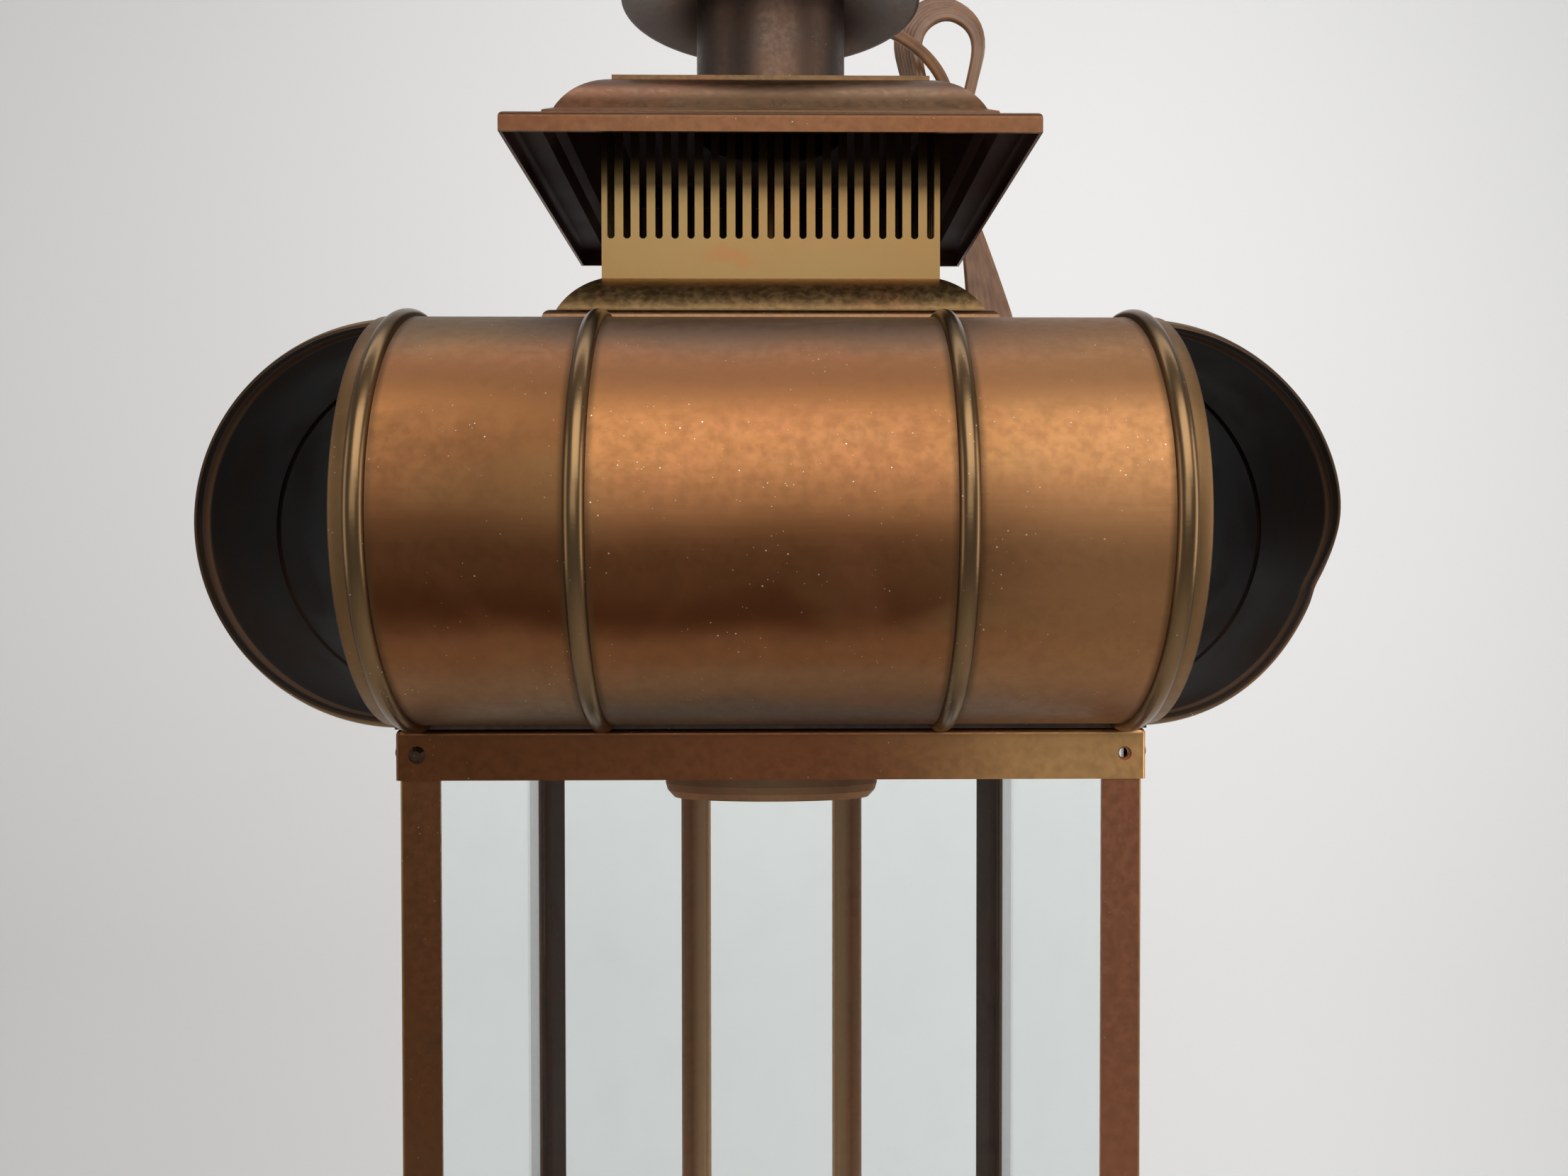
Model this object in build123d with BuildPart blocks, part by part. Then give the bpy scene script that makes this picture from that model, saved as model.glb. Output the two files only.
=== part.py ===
from build123d import *
from math import atan2, cos, degrees, hypot, pi, radians, sin, sqrt, tan
import os

# Hanging lantern in brass sheet: a glazed square cage, a roof with four half-barrel hoods,
# a slotted vent box under a moulded cap, a chimney with a rain cap, and a hank of flat cord.
# Millimetres. The origin is the centre of the hanging eye, +Z is up, and the front faces -Y.

os.makedirs("parts", exist_ok=True)

# Hanging loop and centre pipe
eye_r = 12.5  # bore of the hanging eye
ring_width = 7.0  # metal round the eye
ring_thick = 8.0
ring_round = 2.0
collar_r = 10.0
collar_height = 16.0
collar_sink = 2.0  # how far the collar runs up into the ring
pipe_r = 5.1
pipe_bore_r = 3.4
pipe_screw_in = 9.0  # length of pipe inside the loop's collar
pipe_clear = 0.05
nut_flats = 15.0
nut_height = 4.5

# Rain cap and chimney
rain_rim_r = 64.5
rain_flat_r = 37.0
rain_drop = 14.5
rain_sag = 2.5  # hollow of its sloping part
rain_steps = 2
chimney_r = 32.0
chimney_height = 69.0
chimney_wall = 1.0
foot_plate_half = 61.3
foot_plate_thick = 2.0

# Vent cap: a pressed sheet of square plan
sheet = 1.2
cap_half = 97.3
cap_lip_height = 7.6
cap_lip_round = 2.5
cap_riser_half = 86.0
cap_riser_height = 5.0
cap_riser_lean = 2.0
cap_tread = 3.6
cap_tread_rise = 2.0
cap_top_half = 62.0
moulding_height = 17.8  # height of the convex moulding of the cap
cap_bulge = 2.4  # how far that moulding stands out from a straight slope

# Vent box of four slotted grilles
grille_half = 64.9
grille_sheet = 1.2
grille_show = 77.0  # from the cap's top down to the collar
slot_count = 21
slot_width = 2.8
slot_floor = 15.2  # plain band under the slots
slot_head = 9.0  # plain band above them
end_bar = 2.2  # plain metal outside the last slot
seat_gap = 0.15

# Moulded collar under the vent box, and the roof deck
collar_reach = 19.4  # from the grilles out to the collar's foot
collar_ledge = 4.3  # from the collar's foot in to its moulding
collar_step_height = 3.4
collar_moulding_height = 15.5
collar_bulge = 1.8
collar_land = 6.0  # width of the land that the grilles stand on
deck_rise = 8.5
deck_land = 7.0
deck_clear = 0.8  # the land reaches this far outside the collar

# Hoods
hood_r = 67.2
hood_wall = 1.0
hood_inset = 2.0  # from the corner of the roof to the hood's end
hood_gap = 2.0  # between a hood and the tray
bead_width = 6.2
bead_height = 2.6
bead_crown = 3.0  # flat along the top of a bead
bead_lip = 4.2  # plain lip outside the end beads
bead_middle = 55.6  # from the hood's middle to its inner beads
groove_width = 4.4
groove_depth = 2.2

# Cage
post_half = 125.0
post_flange = 13.5
post_wall = 1.5
post_round = 1.0
band_height = 17.2
band_sheet = 1.1
band_clear = 0.1
band_bend = 2.0
band_corner = 1.6
glass_show = 365.0  # clear height between the two bands
glass_thick = 3.0
glass_corner_gap = 1.5
glass_head_gap = 3.0
vent_window = 78.0  # openings in the tray that let the heat up
vent_pitch = 104.0
screw_inset = 7.3
screw_hole_r = 2.3
screw_shank_r = 1.6
screw_head_r = 3.0
screw_head_height = 1.6
screw_head_taper = 40
screw_side_count = 12
screw_clear = 0.05

# Hinged hatch in the base
floor_flange = 21.0  # floor round the hatch
hatch_clear = 0.8
hatch_rail = 12.0
hatch_thick = 4.0
hatch_rebate = 6.0
hatch_lip = 1.0  # metal under the hatch glass
hatch_glass_clear = 0.3
hinge_reach = 60.0  # from the middle to each hinge
hinge_length = 30.0
hinge_leaf = 12.0
hinge_sheet = 1.2
knuckle_r = 2.2
knuckle_gap = 0.3
hinge_pin_r = 1.2
hinge_pin_clear = 0.05
hinge_drop = 2.6  # hinge line below the base
turned_side_count = 16  # sides of the small turned pieces
knob_r = 5.0
knob_neck_r = 2.2
knob_neck = 5.0
knob_tip_r = 2.2
knob_length = 12.0
knob_reach = 30.0
button_reach = 17.0
button_tail = 4.0
button_width = 8.0
button_thick = 1.6
button_round = 3.9
button_clear = 0.1
button_screw_r = 1.5
button_head_r = 3.0
button_head_height = 1.6

# Lamp cluster
bar_length_half = 46.4
bar_depth_half = 15.5
bar_turn_in = 3.8  # how far its foot is drawn in
bar_upper = 15.0
bar_lower = 6.2
bar_tiers = 3
nut_recess = 6.0  # recess in the bar's foot that hides the nut
nut_recess_r = 9.2
bar_drop = 7.8  # from the tray's lower edge to the bar's top
stem_r = 6.5
stem_wall = 1.0
stem_reach = 33.1
stem_socket = 4.0
pan_r = 62.0
pan_sheet = 1.5
pan_rim = 6.0
pan_drop = 340.0  # from the tray's lower edge to the pan's floor
candle_reach = 40.0
cup_r = 18.0
cup_height = 5.0
cup_sheet = 1.0
sleeve_r = 11.0
sleeve_wall = 1.2
sleeve_height = 46.0
socket_r = 9.0
socket_bore_r = 6.3
socket_depth = 20.0
bulb_cap_r = 6.0
bulb_cap_length = 21.0
bulb_r = 15.5
bulb_height = 68.0
bulb_neck_r = 7.0
bulb_belly = 24.0  # height of the widest place above the neck
bulb_tip_r = 2.0

# Cord
cord_r = 2.4
cord_side_count = 4
bushing_r = 5.0
bushing_bore_r = 2.6
bushing_flange = 2.0
bushing_seat = 8.5  # flat on the collar's back that the bushing sits on
bushing_depth = 3.2
bushing_seat_r = 5.3
cord_hole_r = 3.6
hank_turn_count = 6
hank_pitch = 5.4  # from one loop to the next, front to back
hank_x = 92.0
hank_y = 104.0
hank_drop = 72.9  # from the eye down to the waist
waist_half = 5.0
foot_half = 16.0
foot_half_step = 6.0
foot_depth = 134.5
foot_depth_step = 2.2
head_half = 18.0
head_half_step = 1.4
head_height = 68.0
head_height_step = 4.0
loop_crown = 0.7  # depth of a loop's round end, as a share of its half width
run_bow = 1.5  # how far a run bows out between the waist and its end
tail_drop = 22.0
entry_run = 14.0  # straight end of the lead above the waist
cord_inside = 5.0  # cord inside the bushing
lead_arch = 2.7  # rise of the lead between the outlet and the hank
tie_sheet = 1.2
tie_height = 7.0
tie_clear = 0.5
tie_spread = 4.2  # how far the bends of the runs stand out at the waist
bare_r = 0.8
bare_length = 9.0
bare_apart = 1.3

# Levels, from the eye downwards
z_ring_foot = -(eye_r + ring_width)
z_collar_top = z_ring_foot + collar_sink
z_loop_foot = z_ring_foot - collar_height
z_chimney_top = z_loop_foot - sheet
z_chimney_foot = z_chimney_top - chimney_height
z_cap_top = z_chimney_foot - foot_plate_thick
z_moulding_foot = z_cap_top - moulding_height
z_tread = z_moulding_foot - cap_tread_rise
z_flange = z_tread - cap_riser_height
z_cap_lip = z_flange - cap_lip_height
z_grille_foot = z_cap_top - grille_show
z_collar_step = z_grille_foot - collar_moulding_height
z_deck_land = z_collar_step - collar_step_height
z_deck_edge = z_deck_land - deck_rise
z_core_top = z_deck_edge - sheet
z_hood = z_core_top - hood_r
z_tray_top = z_hood - hood_r - hood_gap
z_tray_edge = z_tray_top - band_height
z_base_top = z_tray_edge - glass_show
z_base_foot = z_base_top - band_height
z_base_floor = z_base_foot + band_sheet
z_bar_top = z_tray_edge - bar_drop
z_bar_step = z_bar_top - bar_upper
z_bar_foot = z_bar_step - bar_lower
z_pan = z_tray_edge - pan_drop
z_waist = -hank_drop
z_pipe_top = z_loop_foot + pipe_screw_in
z_outlet = z_pipe_top + cord_hole_r

band_half = post_half + band_clear
body_half = band_half + band_sheet
hood_half = body_half - hood_inset
screw_length = body_half - post_half + post_wall
hatch_opening_half = post_half - floor_flange
hatch_half = hatch_opening_half - hatch_clear
pane_inner = post_half - post_wall - glass_thick
pane_half = pane_inner - glass_corner_gap
collar_foot_half = grille_half + collar_reach
collar_step_half = collar_foot_half - collar_ledge
moulding_foot_half = cap_riser_half - cap_riser_lean - cap_tread
shaft_hole_r = pipe_r + pipe_clear
throat_r = chimney_r - chimney_wall
SIDES = {"front": 0, "right": 90, "back": 180, "left": 270}
CORNERS = {"front_right": 0, "back_right": 90, "back_left": 180, "front_left": 270}


def save(piece, name):
    """Labels one finished piece and writes its file."""
    piece.part.label = name
    export_step(piece.part, f"parts/{name}.step")


def side_plane(angle, distance, z):
    """Upright plane on one side of the lantern: x along the side, y up, normal outwards."""
    a = radians(angle)
    out = Vector(sin(a), -cos(a), 0)
    along = Vector(cos(a), sin(a), 0)
    return Plane(origin=out * distance + Vector(0, 0, z), x_dir=along, z_dir=out)


def square_form(half_outline):
    """Solid of square plan whose four sides all follow one half outline."""
    with BuildPart() as form:
        with BuildSketch(Plane.XZ):
            add(half_outline)
            mirror(about=Plane.YZ)
        extrude(amount=body_half, both=True)
        with BuildSketch(Plane.YZ):
            add(half_outline)
            mirror(about=Plane.YZ)
        extrude(amount=body_half, both=True, mode=Mode.INTERSECT)
    return form.part


def bulged(start, end, bulge):
    """Middle point of an arc from start to end that stands out to the right of the line by bulge."""
    dx = end[0] - start[0]
    dz = end[1] - start[1]
    length = hypot(dx, dz)
    middle_x = (start[0] + end[0]) / 2 + bulge * dz / length
    middle_z = (start[1] + end[1]) / 2 - bulge * dx / length
    return (middle_x, middle_z)


def cap_section():
    """Half outline of the vent cap: lip, flange, riser, tread, convex moulding and flat top."""
    foot = (moulding_foot_half, z_moulding_foot)
    top = (cap_top_half, z_cap_top)
    riser_top = (cap_riser_half - cap_riser_lean, z_tread)
    round_low = (cap_half, z_flange - cap_lip_round)
    round_high = (cap_half - cap_lip_round, z_flange)
    with BuildSketch() as section:
        with BuildLine():
            Polyline((0, z_cap_top), (0, z_cap_lip), (cap_half, z_cap_lip), round_low)
            RadiusArc(round_low, round_high, -cap_lip_round)
            Polyline(round_high, (cap_riser_half, z_flange), riser_top, foot)
            ThreePointArc(foot, bulged(foot, top, cap_bulge), top)
            Line(top, (0, z_cap_top))
        make_face()
    return section.sketch


def collar_section():
    """Half outline of the moulded collar under the vent box."""
    step = (collar_step_half, z_collar_step)
    top = (grille_half, z_grille_foot)
    with BuildSketch() as section:
        with BuildLine():
            Polyline((0, z_grille_foot), (0, z_deck_land), (collar_foot_half, z_deck_land))
            RadiusArc(
                (collar_foot_half, z_deck_land),
                (collar_foot_half - collar_step_height, z_collar_step),
                -collar_step_height,
            )
            Line((collar_foot_half - collar_step_height, z_collar_step), step)
            ThreePointArc(step, bulged(step, top, collar_bulge), top)
            Line(top, (0, z_grille_foot))
        make_face()
    return section.sketch


def deck_section():
    """Half outline of the low hipped roof deck."""
    land_half = collar_foot_half + deck_clear
    with BuildSketch() as section:
        with BuildLine():
            Polyline(
                (0, z_deck_land),
                (0, z_core_top),
                (body_half, z_core_top),
                (body_half, z_deck_edge),
                (land_half, z_deck_land),
                (0, z_deck_land),
            )
        make_face()
    return section.sketch


def cap_inside(half_width):
    """Height of the cap's inner face over a place on its moulding, at this half width."""
    foot = Vector(moulding_foot_half, z_moulding_foot)
    top = Vector(cap_top_half, z_cap_top)
    chord = (top - foot).length
    radius = (chord**2 / 4 + cap_bulge**2) / (2 * cap_bulge)
    out = Vector(top.Y - foot.Y, foot.X - top.X) / chord
    centre = (foot + top) / 2 + out * (cap_bulge - radius) - Vector(sheet, sheet)
    return centre.Y + sqrt(radius**2 - (half_width - centre.X) ** 2)


def stepped(levels, x, y):
    """Small turned piece, many-sided, in straight tapers through its (radius, z) levels from the foot up."""
    with BuildPart() as form:
        for (r, z), (next_r, next_z) in zip(levels, levels[1:]):
            with BuildSketch(Plane.XY.offset(z)):
                with Locations((x, y)):
                    RegularPolygon(r, turned_side_count, major_radius=False)
            extrude(amount=next_z - z, taper=degrees(atan2(r - next_r, next_z - z)))
    return form.part


# Hanging loop: a flat ring with an eye, on a collar that the pipe screws into
with BuildPart() as hanging_loop:
    with BuildSketch(Plane.XZ):
        Circle(eye_r + ring_width)
    extrude(amount=ring_thick / 2, both=True)
    chamfer(hanging_loop.edges().filter_by(GeomType.CIRCLE), length=ring_round)
    with BuildSketch(Plane.XY.offset(z_loop_foot)):
        Circle(collar_r)
    extrude(amount=z_collar_top - z_loop_foot)
    with BuildSketch(Plane.XZ):
        Circle(eye_r)
    extrude(amount=collar_r, both=True, mode=Mode.SUBTRACT)
    with BuildSketch(Plane.XY.offset(z_loop_foot)):
        Circle(shaft_hole_r)
    extrude(amount=pipe_screw_in, mode=Mode.SUBTRACT)
    with BuildSketch(Plane.XY.offset(z_pipe_top)):
        Circle(pipe_bore_r)
    extrude(amount=cord_hole_r, mode=Mode.SUBTRACT)
    with BuildSketch(Plane.XZ):
        with Locations((0, z_outlet)):
            Circle(cord_hole_r)
    extrude(amount=-collar_r, mode=Mode.SUBTRACT)
    with BuildSketch(Plane.XZ.offset(-bushing_seat)):
        with Locations((0, z_outlet)):
            Circle(bushing_seat_r)
    extrude(amount=-collar_r, mode=Mode.SUBTRACT)
save(hanging_loop, "hanging_loop")

# Bushing in the cord outlet at the back of the collar
with BuildPart() as cord_bushing:
    with BuildSketch(Plane.XZ.offset(-bushing_seat)):
        with Locations((0, z_outlet)):
            Circle(cord_hole_r - pipe_clear)
    extrude(amount=bushing_depth)
    with BuildSketch(Plane.XZ.offset(-bushing_seat)):
        with Locations((0, z_outlet)):
            Circle(bushing_r)
    extrude(amount=-bushing_flange)
    with BuildSketch(Plane.XZ.offset(-bushing_seat - bushing_flange)):
        with Locations((0, z_outlet)):
            Circle(bushing_bore_r)
    extrude(amount=bushing_flange + bushing_depth, mode=Mode.SUBTRACT)
save(cord_bushing, "cord_bushing")

# Rain cap: a spun dish with a flat top and a hollow underside, in short straight steps
rain_top = [(shaft_hole_r, z_loop_foot)]
for step in range(rain_steps + 1):
    share = step / rain_steps
    fall = share * rain_drop + rain_sag * sin(pi * share)
    rain_top.append((rain_flat_r + share * (rain_rim_r - rain_flat_r), z_loop_foot - fall))
rain_under = [(r, z - sheet) for r, z in reversed(rain_top)]
with BuildPart() as rain_cap:
    with BuildSketch(Plane.XZ):
        with BuildLine():
            Polyline(*rain_top, *rain_under, close=True)
        make_face()
    revolve(axis=Axis.Z)
save(rain_cap, "rain_cap")

# Chimney tube and the square plate that it stands on
with BuildPart() as chimney_tube:
    with BuildSketch(Plane.XY.offset(z_chimney_foot)):
        Circle(chimney_r)
        Circle(throat_r, mode=Mode.SUBTRACT)
    extrude(amount=chimney_height)
save(chimney_tube, "chimney_tube")

with BuildPart() as chimney_foot:
    with BuildSketch(Plane.XY.offset(z_cap_top)):
        Rectangle(2 * foot_plate_half, 2 * foot_plate_half)
        Circle(throat_r, mode=Mode.SUBTRACT)
    extrude(amount=foot_plate_thick)
save(chimney_foot, "chimney_foot")

# Vent cap, with the chimney's throat through its top
cap_outer = square_form(cap_section())
cap_hollow = square_form(Pos(-sheet, -sheet) * cap_section())
with BuildPart() as vent_cap:
    add(cap_outer)
    add(cap_hollow, mode=Mode.SUBTRACT)
    with BuildSketch(Plane.XY.offset(z_cap_top)):
        Circle(throat_r)
    extrude(amount=-2 * sheet, mode=Mode.SUBTRACT)
save(vent_cap, "vent_cap")

# Vent box: four slotted grilles that butt at the corners
z_grille_top = cap_inside(grille_half) - seat_gap
slot_pitch = 2 * (grille_half - end_bar - slot_width / 2) / (slot_count - 1)
slot_top = z_grille_top - slot_head - z_grille_foot
for side, angle in SIDES.items():
    across = grille_half if angle % 180 == 0 else grille_half - grille_sheet
    with BuildPart() as vent_grille:
        with BuildSketch(side_plane(angle, grille_half, z_grille_foot)):
            with Locations((0, (z_grille_top - z_grille_foot) / 2)):
                Rectangle(2 * across, z_grille_top - z_grille_foot)
            slot_low = slot_floor + slot_width / 2
            with Locations((0, slot_low)):
                with GridLocations(slot_pitch, 1, slot_count, 1):
                    RegularPolygon(slot_width / 2, 8, major_radius=False, rotation=22.5, mode=Mode.SUBTRACT)
            with Locations((0, (slot_low + slot_top) / 2)):
                with GridLocations(slot_pitch, 1, slot_count, 1):
                    Rectangle(slot_width, slot_top - slot_low, mode=Mode.SUBTRACT)
        extrude(amount=-grille_sheet)
    save(vent_grille, f"vent_grille_{side}")

# Moulded collar with an open middle and a land for the grilles
collar_outer = square_form(collar_section())
collar_hollow = square_form(Pos(-sheet, -sheet) * collar_section())
with BuildPart() as gallery_collar:
    add(collar_outer)
    add(collar_hollow, mode=Mode.SUBTRACT)
    with BuildSketch(Plane.XY.offset(z_grille_foot)):
        Rectangle(2 * (grille_half - collar_land), 2 * (grille_half - collar_land))
    extrude(amount=-2 * sheet, mode=Mode.SUBTRACT)
save(gallery_collar, "gallery_collar")

# Roof deck: a low hipped sheet from the collar out to the hoods
deck_outer = square_form(deck_section())
deck_hollow = square_form(Pos(0, -sheet) * deck_section())
deck_opening = collar_foot_half - deck_land
with BuildPart() as roof_deck:
    add(deck_outer)
    add(deck_hollow, mode=Mode.SUBTRACT)
    with BuildSketch(Plane.XY.offset(z_deck_land)):
        Rectangle(2 * deck_opening, 2 * deck_opening)
    extrude(amount=-2 * sheet, mode=Mode.SUBTRACT)
save(roof_deck, "roof_deck")

# Core walls behind the hoods
for side, angle in SIDES.items():
    across = body_half if angle % 180 == 0 else body_half - sheet
    core_height = z_core_top - z_tray_top
    with BuildPart() as core_wall:
        with BuildSketch(side_plane(angle, body_half, z_tray_top)):
            with Locations((0, core_height / 2)):
                Rectangle(2 * across, core_height)
        extrude(amount=-sheet)
    save(core_wall, f"core_wall_{side}")

# Hoods: half barrels with swaged beads, each bead hollow behind
bead_end = hood_half - bead_lip - bead_width / 2
beads = [-bead_end, -bead_middle, bead_middle, bead_end]
hood_inner_r = hood_r - hood_wall
hood_outer = [(-hood_half, hood_r)]
hood_inner = [(hood_half, hood_inner_r)]
for bead in beads:
    hood_outer += [
        (bead - bead_width / 2, hood_r),
        (bead - bead_crown / 2, hood_r + bead_height),
        (bead + bead_crown / 2, hood_r + bead_height),
        (bead + bead_width / 2, hood_r),
    ]
    hood_inner += [
        (-bead + groove_width / 2, hood_inner_r),
        (-bead, hood_inner_r + groove_depth),
        (-bead - groove_width / 2, hood_inner_r),
    ]
hood_outer.append((hood_half, hood_r))
hood_inner.append((-hood_half, hood_inner_r))
for side, angle in SIDES.items():
    plane = side_plane(angle, body_half, z_hood)
    with BuildPart() as hood:
        with BuildSketch(plane):
            with BuildLine():
                Polyline(*hood_outer, *hood_inner, close=True)
            make_face()
        revolve(axis=Axis(plane.origin, plane.x_dir), revolution_arc=180)
    save(hood, f"hood_{side}")

# Roof tray: a plate with a folded skirt, vent windows, the pipe's hole and screw holes
screw_reach = body_half - screw_inset
z_roof_screw = z_tray_edge + band_height / 2
z_base_screw = z_base_foot + band_height / 2
with BuildPart() as roof_tray:
    with BuildSketch(Plane.XY.offset(z_tray_edge)):
        RectangleRounded(2 * body_half, 2 * body_half, band_corner)
    extrude(amount=band_height)
    fillet(roof_tray.faces().sort_by(Axis.Z)[-1].edges(), radius=band_bend)
    with BuildSketch(Plane.XY.offset(z_tray_edge)):
        Rectangle(2 * band_half, 2 * band_half)
    extrude(amount=band_height - band_sheet, mode=Mode.SUBTRACT)
    with BuildSketch(Plane.XY.offset(z_tray_top)):
        with GridLocations(vent_pitch, vent_pitch, 2, 2):
            Rectangle(vent_window, vent_window)
        Circle(shaft_hole_r)
    extrude(amount=-2 * band_sheet, mode=Mode.SUBTRACT)
    for angle in SIDES.values():
        with BuildSketch(side_plane(angle, body_half, z_roof_screw)):
            with Locations((-screw_reach, 0), (screw_reach, 0)):
                RegularPolygon(screw_hole_r, screw_side_count, major_radius=False)
        extrude(amount=-2 * band_sheet, mode=Mode.SUBTRACT)
save(roof_tray, "roof_tray")


def band_screws(name, z, empty):
    """Raised-head screws through a band into the posts; one place may be empty."""
    with BuildPart() as screws:
        for screw_side, angle in SIDES.items():
            for end in (-1, 1):
                if (screw_side, end) == empty:
                    continue
                plane = side_plane(angle, body_half, z)
                with BuildSketch(plane):
                    with Locations((end * screw_reach, 0)):
                        RegularPolygon(screw_head_r, screw_side_count)
                extrude(amount=screw_head_height, taper=screw_head_taper)
                with BuildSketch(plane):
                    with Locations((end * screw_reach, 0)):
                        RegularPolygon(screw_shank_r, screw_side_count // 2)
                extrude(amount=-screw_length)
    save(screws, name)


# The front right hole of the roof has lost its screw
band_screws("roof_screws", z_roof_screw, ("front", 1))
band_screws("base_screws", z_base_screw, None)

# Corner posts: angle sections with screw holes near both ends
post_height = z_tray_top - band_sheet - z_base_floor
for corner, angle in CORNERS.items():
    a = radians(angle)
    plane = Plane(origin=(0, 0, z_base_floor), x_dir=(cos(a), sin(a), 0), z_dir=(0, 0, 1))
    inner = post_half - post_wall
    edge = post_half - post_flange
    with BuildPart() as corner_post:
        with BuildSketch(plane) as post_section:
            with BuildLine():
                Polyline(
                    (post_half, -post_half),
                    (post_half, -edge),
                    (inner, -edge),
                    (inner, -inner),
                    (edge, -inner),
                    (edge, -post_half),
                    close=True,
                )
            make_face()
            outer_corner = post_section.vertices().sort_by_distance((post_half, -post_half, 0))[0]
            fillet(outer_corner, radius=post_round)
        extrude(amount=post_height)
        for side_angle, end in ((angle, 1), (angle + 90, -1)):
            for z in (z_roof_screw, z_base_screw):
                with BuildSketch(side_plane(side_angle, post_half, z)):
                    with Locations((end * screw_reach, 0)):
                        RegularPolygon(screw_shank_r + screw_clear, screw_side_count, major_radius=False)
                extrude(amount=-2 * post_wall, mode=Mode.SUBTRACT)
    save(corner_post, f"post_{corner}")

# Glass panes behind the post flanges, standing on the base's floor
pane_height = z_tray_top - band_sheet - glass_head_gap - z_base_floor
for side, angle in SIDES.items():
    with BuildPart() as pane:
        with BuildSketch(side_plane(angle, post_half - post_wall, z_base_floor)):
            with Locations((0, pane_height / 2)):
                Rectangle(2 * pane_half, pane_height)
        extrude(amount=-glass_thick)
    save(pane, f"glass_{side}")

# Base tray: a folded band with a floor flange round the hatch
z_hinge = z_base_foot - hinge_drop
y_hinge = hatch_opening_half - hatch_clear / 2
y_button = -(hatch_opening_half + pane_inner) / 2
with BuildPart() as base_tray:
    with BuildSketch(Plane.XY.offset(z_base_foot)):
        RectangleRounded(2 * body_half, 2 * body_half, band_corner)
    extrude(amount=band_height)
    fillet(base_tray.faces().sort_by(Axis.Z)[0].edges(), radius=band_bend)
    with BuildSketch(Plane.XY.offset(z_base_floor)):
        Rectangle(2 * band_half, 2 * band_half)
    extrude(amount=band_height, mode=Mode.SUBTRACT)
    with BuildSketch(Plane.XY.offset(z_base_foot)):
        Rectangle(2 * hatch_opening_half, 2 * hatch_opening_half)
        with Locations((0, y_button)):
            Circle(button_screw_r + screw_clear)
    extrude(amount=2 * band_sheet, mode=Mode.SUBTRACT)
    for angle in SIDES.values():
        with BuildSketch(side_plane(angle, body_half, z_base_screw)):
            with Locations((-screw_reach, 0), (screw_reach, 0)):
                RegularPolygon(screw_hole_r, screw_side_count, major_radius=False)
        extrude(amount=-2 * band_sheet, mode=Mode.SUBTRACT)
save(base_tray, "base_tray")

# Hatch frame with a rebate for its glass
hatch_light = hatch_half - hatch_rail
hatch_seat = hatch_light + hatch_rebate
with BuildPart() as hatch_frame:
    with BuildSketch(Plane.XY.offset(z_base_foot)):
        Rectangle(2 * hatch_half, 2 * hatch_half)
        Rectangle(2 * hatch_light, 2 * hatch_light, mode=Mode.SUBTRACT)
    extrude(amount=hatch_thick)
    with BuildSketch(Plane.XY.offset(z_base_foot + hatch_lip)):
        Rectangle(2 * hatch_seat, 2 * hatch_seat)
    extrude(amount=hatch_thick, mode=Mode.SUBTRACT)
save(hatch_frame, "hatch_frame")

with BuildPart() as hatch_glass:
    with BuildSketch(Plane.XY.offset(z_base_foot + hatch_lip)):
        Rectangle(2 * (hatch_seat - hatch_glass_clear), 2 * (hatch_seat - hatch_glass_clear))
    extrude(amount=hatch_thick - hatch_lip)
save(hatch_glass, "hatch_glass")

# Hinges: the outer knuckles sit on the base, the middle one on the hatch
knuckle_bore_r = hinge_pin_r + hinge_pin_clear
middle_half = hinge_length / 6 - knuckle_gap / 2
outer_length = hinge_length / 3 - knuckle_gap / 2


def hinge_profile(direction):
    """Section of a knuckle with its flat leaf, on one side of the hinge line."""
    leaf_middle = y_hinge + direction * (hinge_leaf + hatch_clear / 2) / 2
    with BuildSketch() as profile:
        with Locations((y_hinge, z_hinge)):
            RegularPolygon(knuckle_r, screw_side_count)
        with Locations((leaf_middle, z_base_foot - hinge_sheet / 2)):
            Rectangle(hinge_leaf - hatch_clear / 2, hinge_sheet)
        with Locations((y_hinge, z_hinge)):
            RegularPolygon(knuckle_bore_r, screw_side_count, major_radius=False, mode=Mode.SUBTRACT)
    return profile.sketch


base_profile = hinge_profile(1)
hatch_profile = hinge_profile(-1)
with BuildPart() as hinge_leaves_base:
    for place in (-hinge_reach, hinge_reach):
        for x in (place - hinge_length / 2, place + hinge_length / 2 - outer_length):
            with BuildSketch(Plane.YZ.offset(x)):
                add(base_profile)
            extrude(amount=outer_length)
save(hinge_leaves_base, "hinge_leaves_base")

with BuildPart() as hinge_leaves_hatch:
    for place in (-hinge_reach, hinge_reach):
        with BuildSketch(Plane.YZ.offset(place - middle_half)):
            add(hatch_profile)
        extrude(amount=2 * middle_half)
save(hinge_leaves_hatch, "hinge_leaves_hatch")

with BuildPart() as hinge_pins:
    for place in (-hinge_reach, hinge_reach):
        with BuildSketch(Plane.YZ.offset(place - hinge_length / 2)):
            with Locations((y_hinge, z_hinge)):
                RegularPolygon(hinge_pin_r, screw_side_count)
        extrude(amount=hinge_length)
save(hinge_pins, "hinge_pins")

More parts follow.
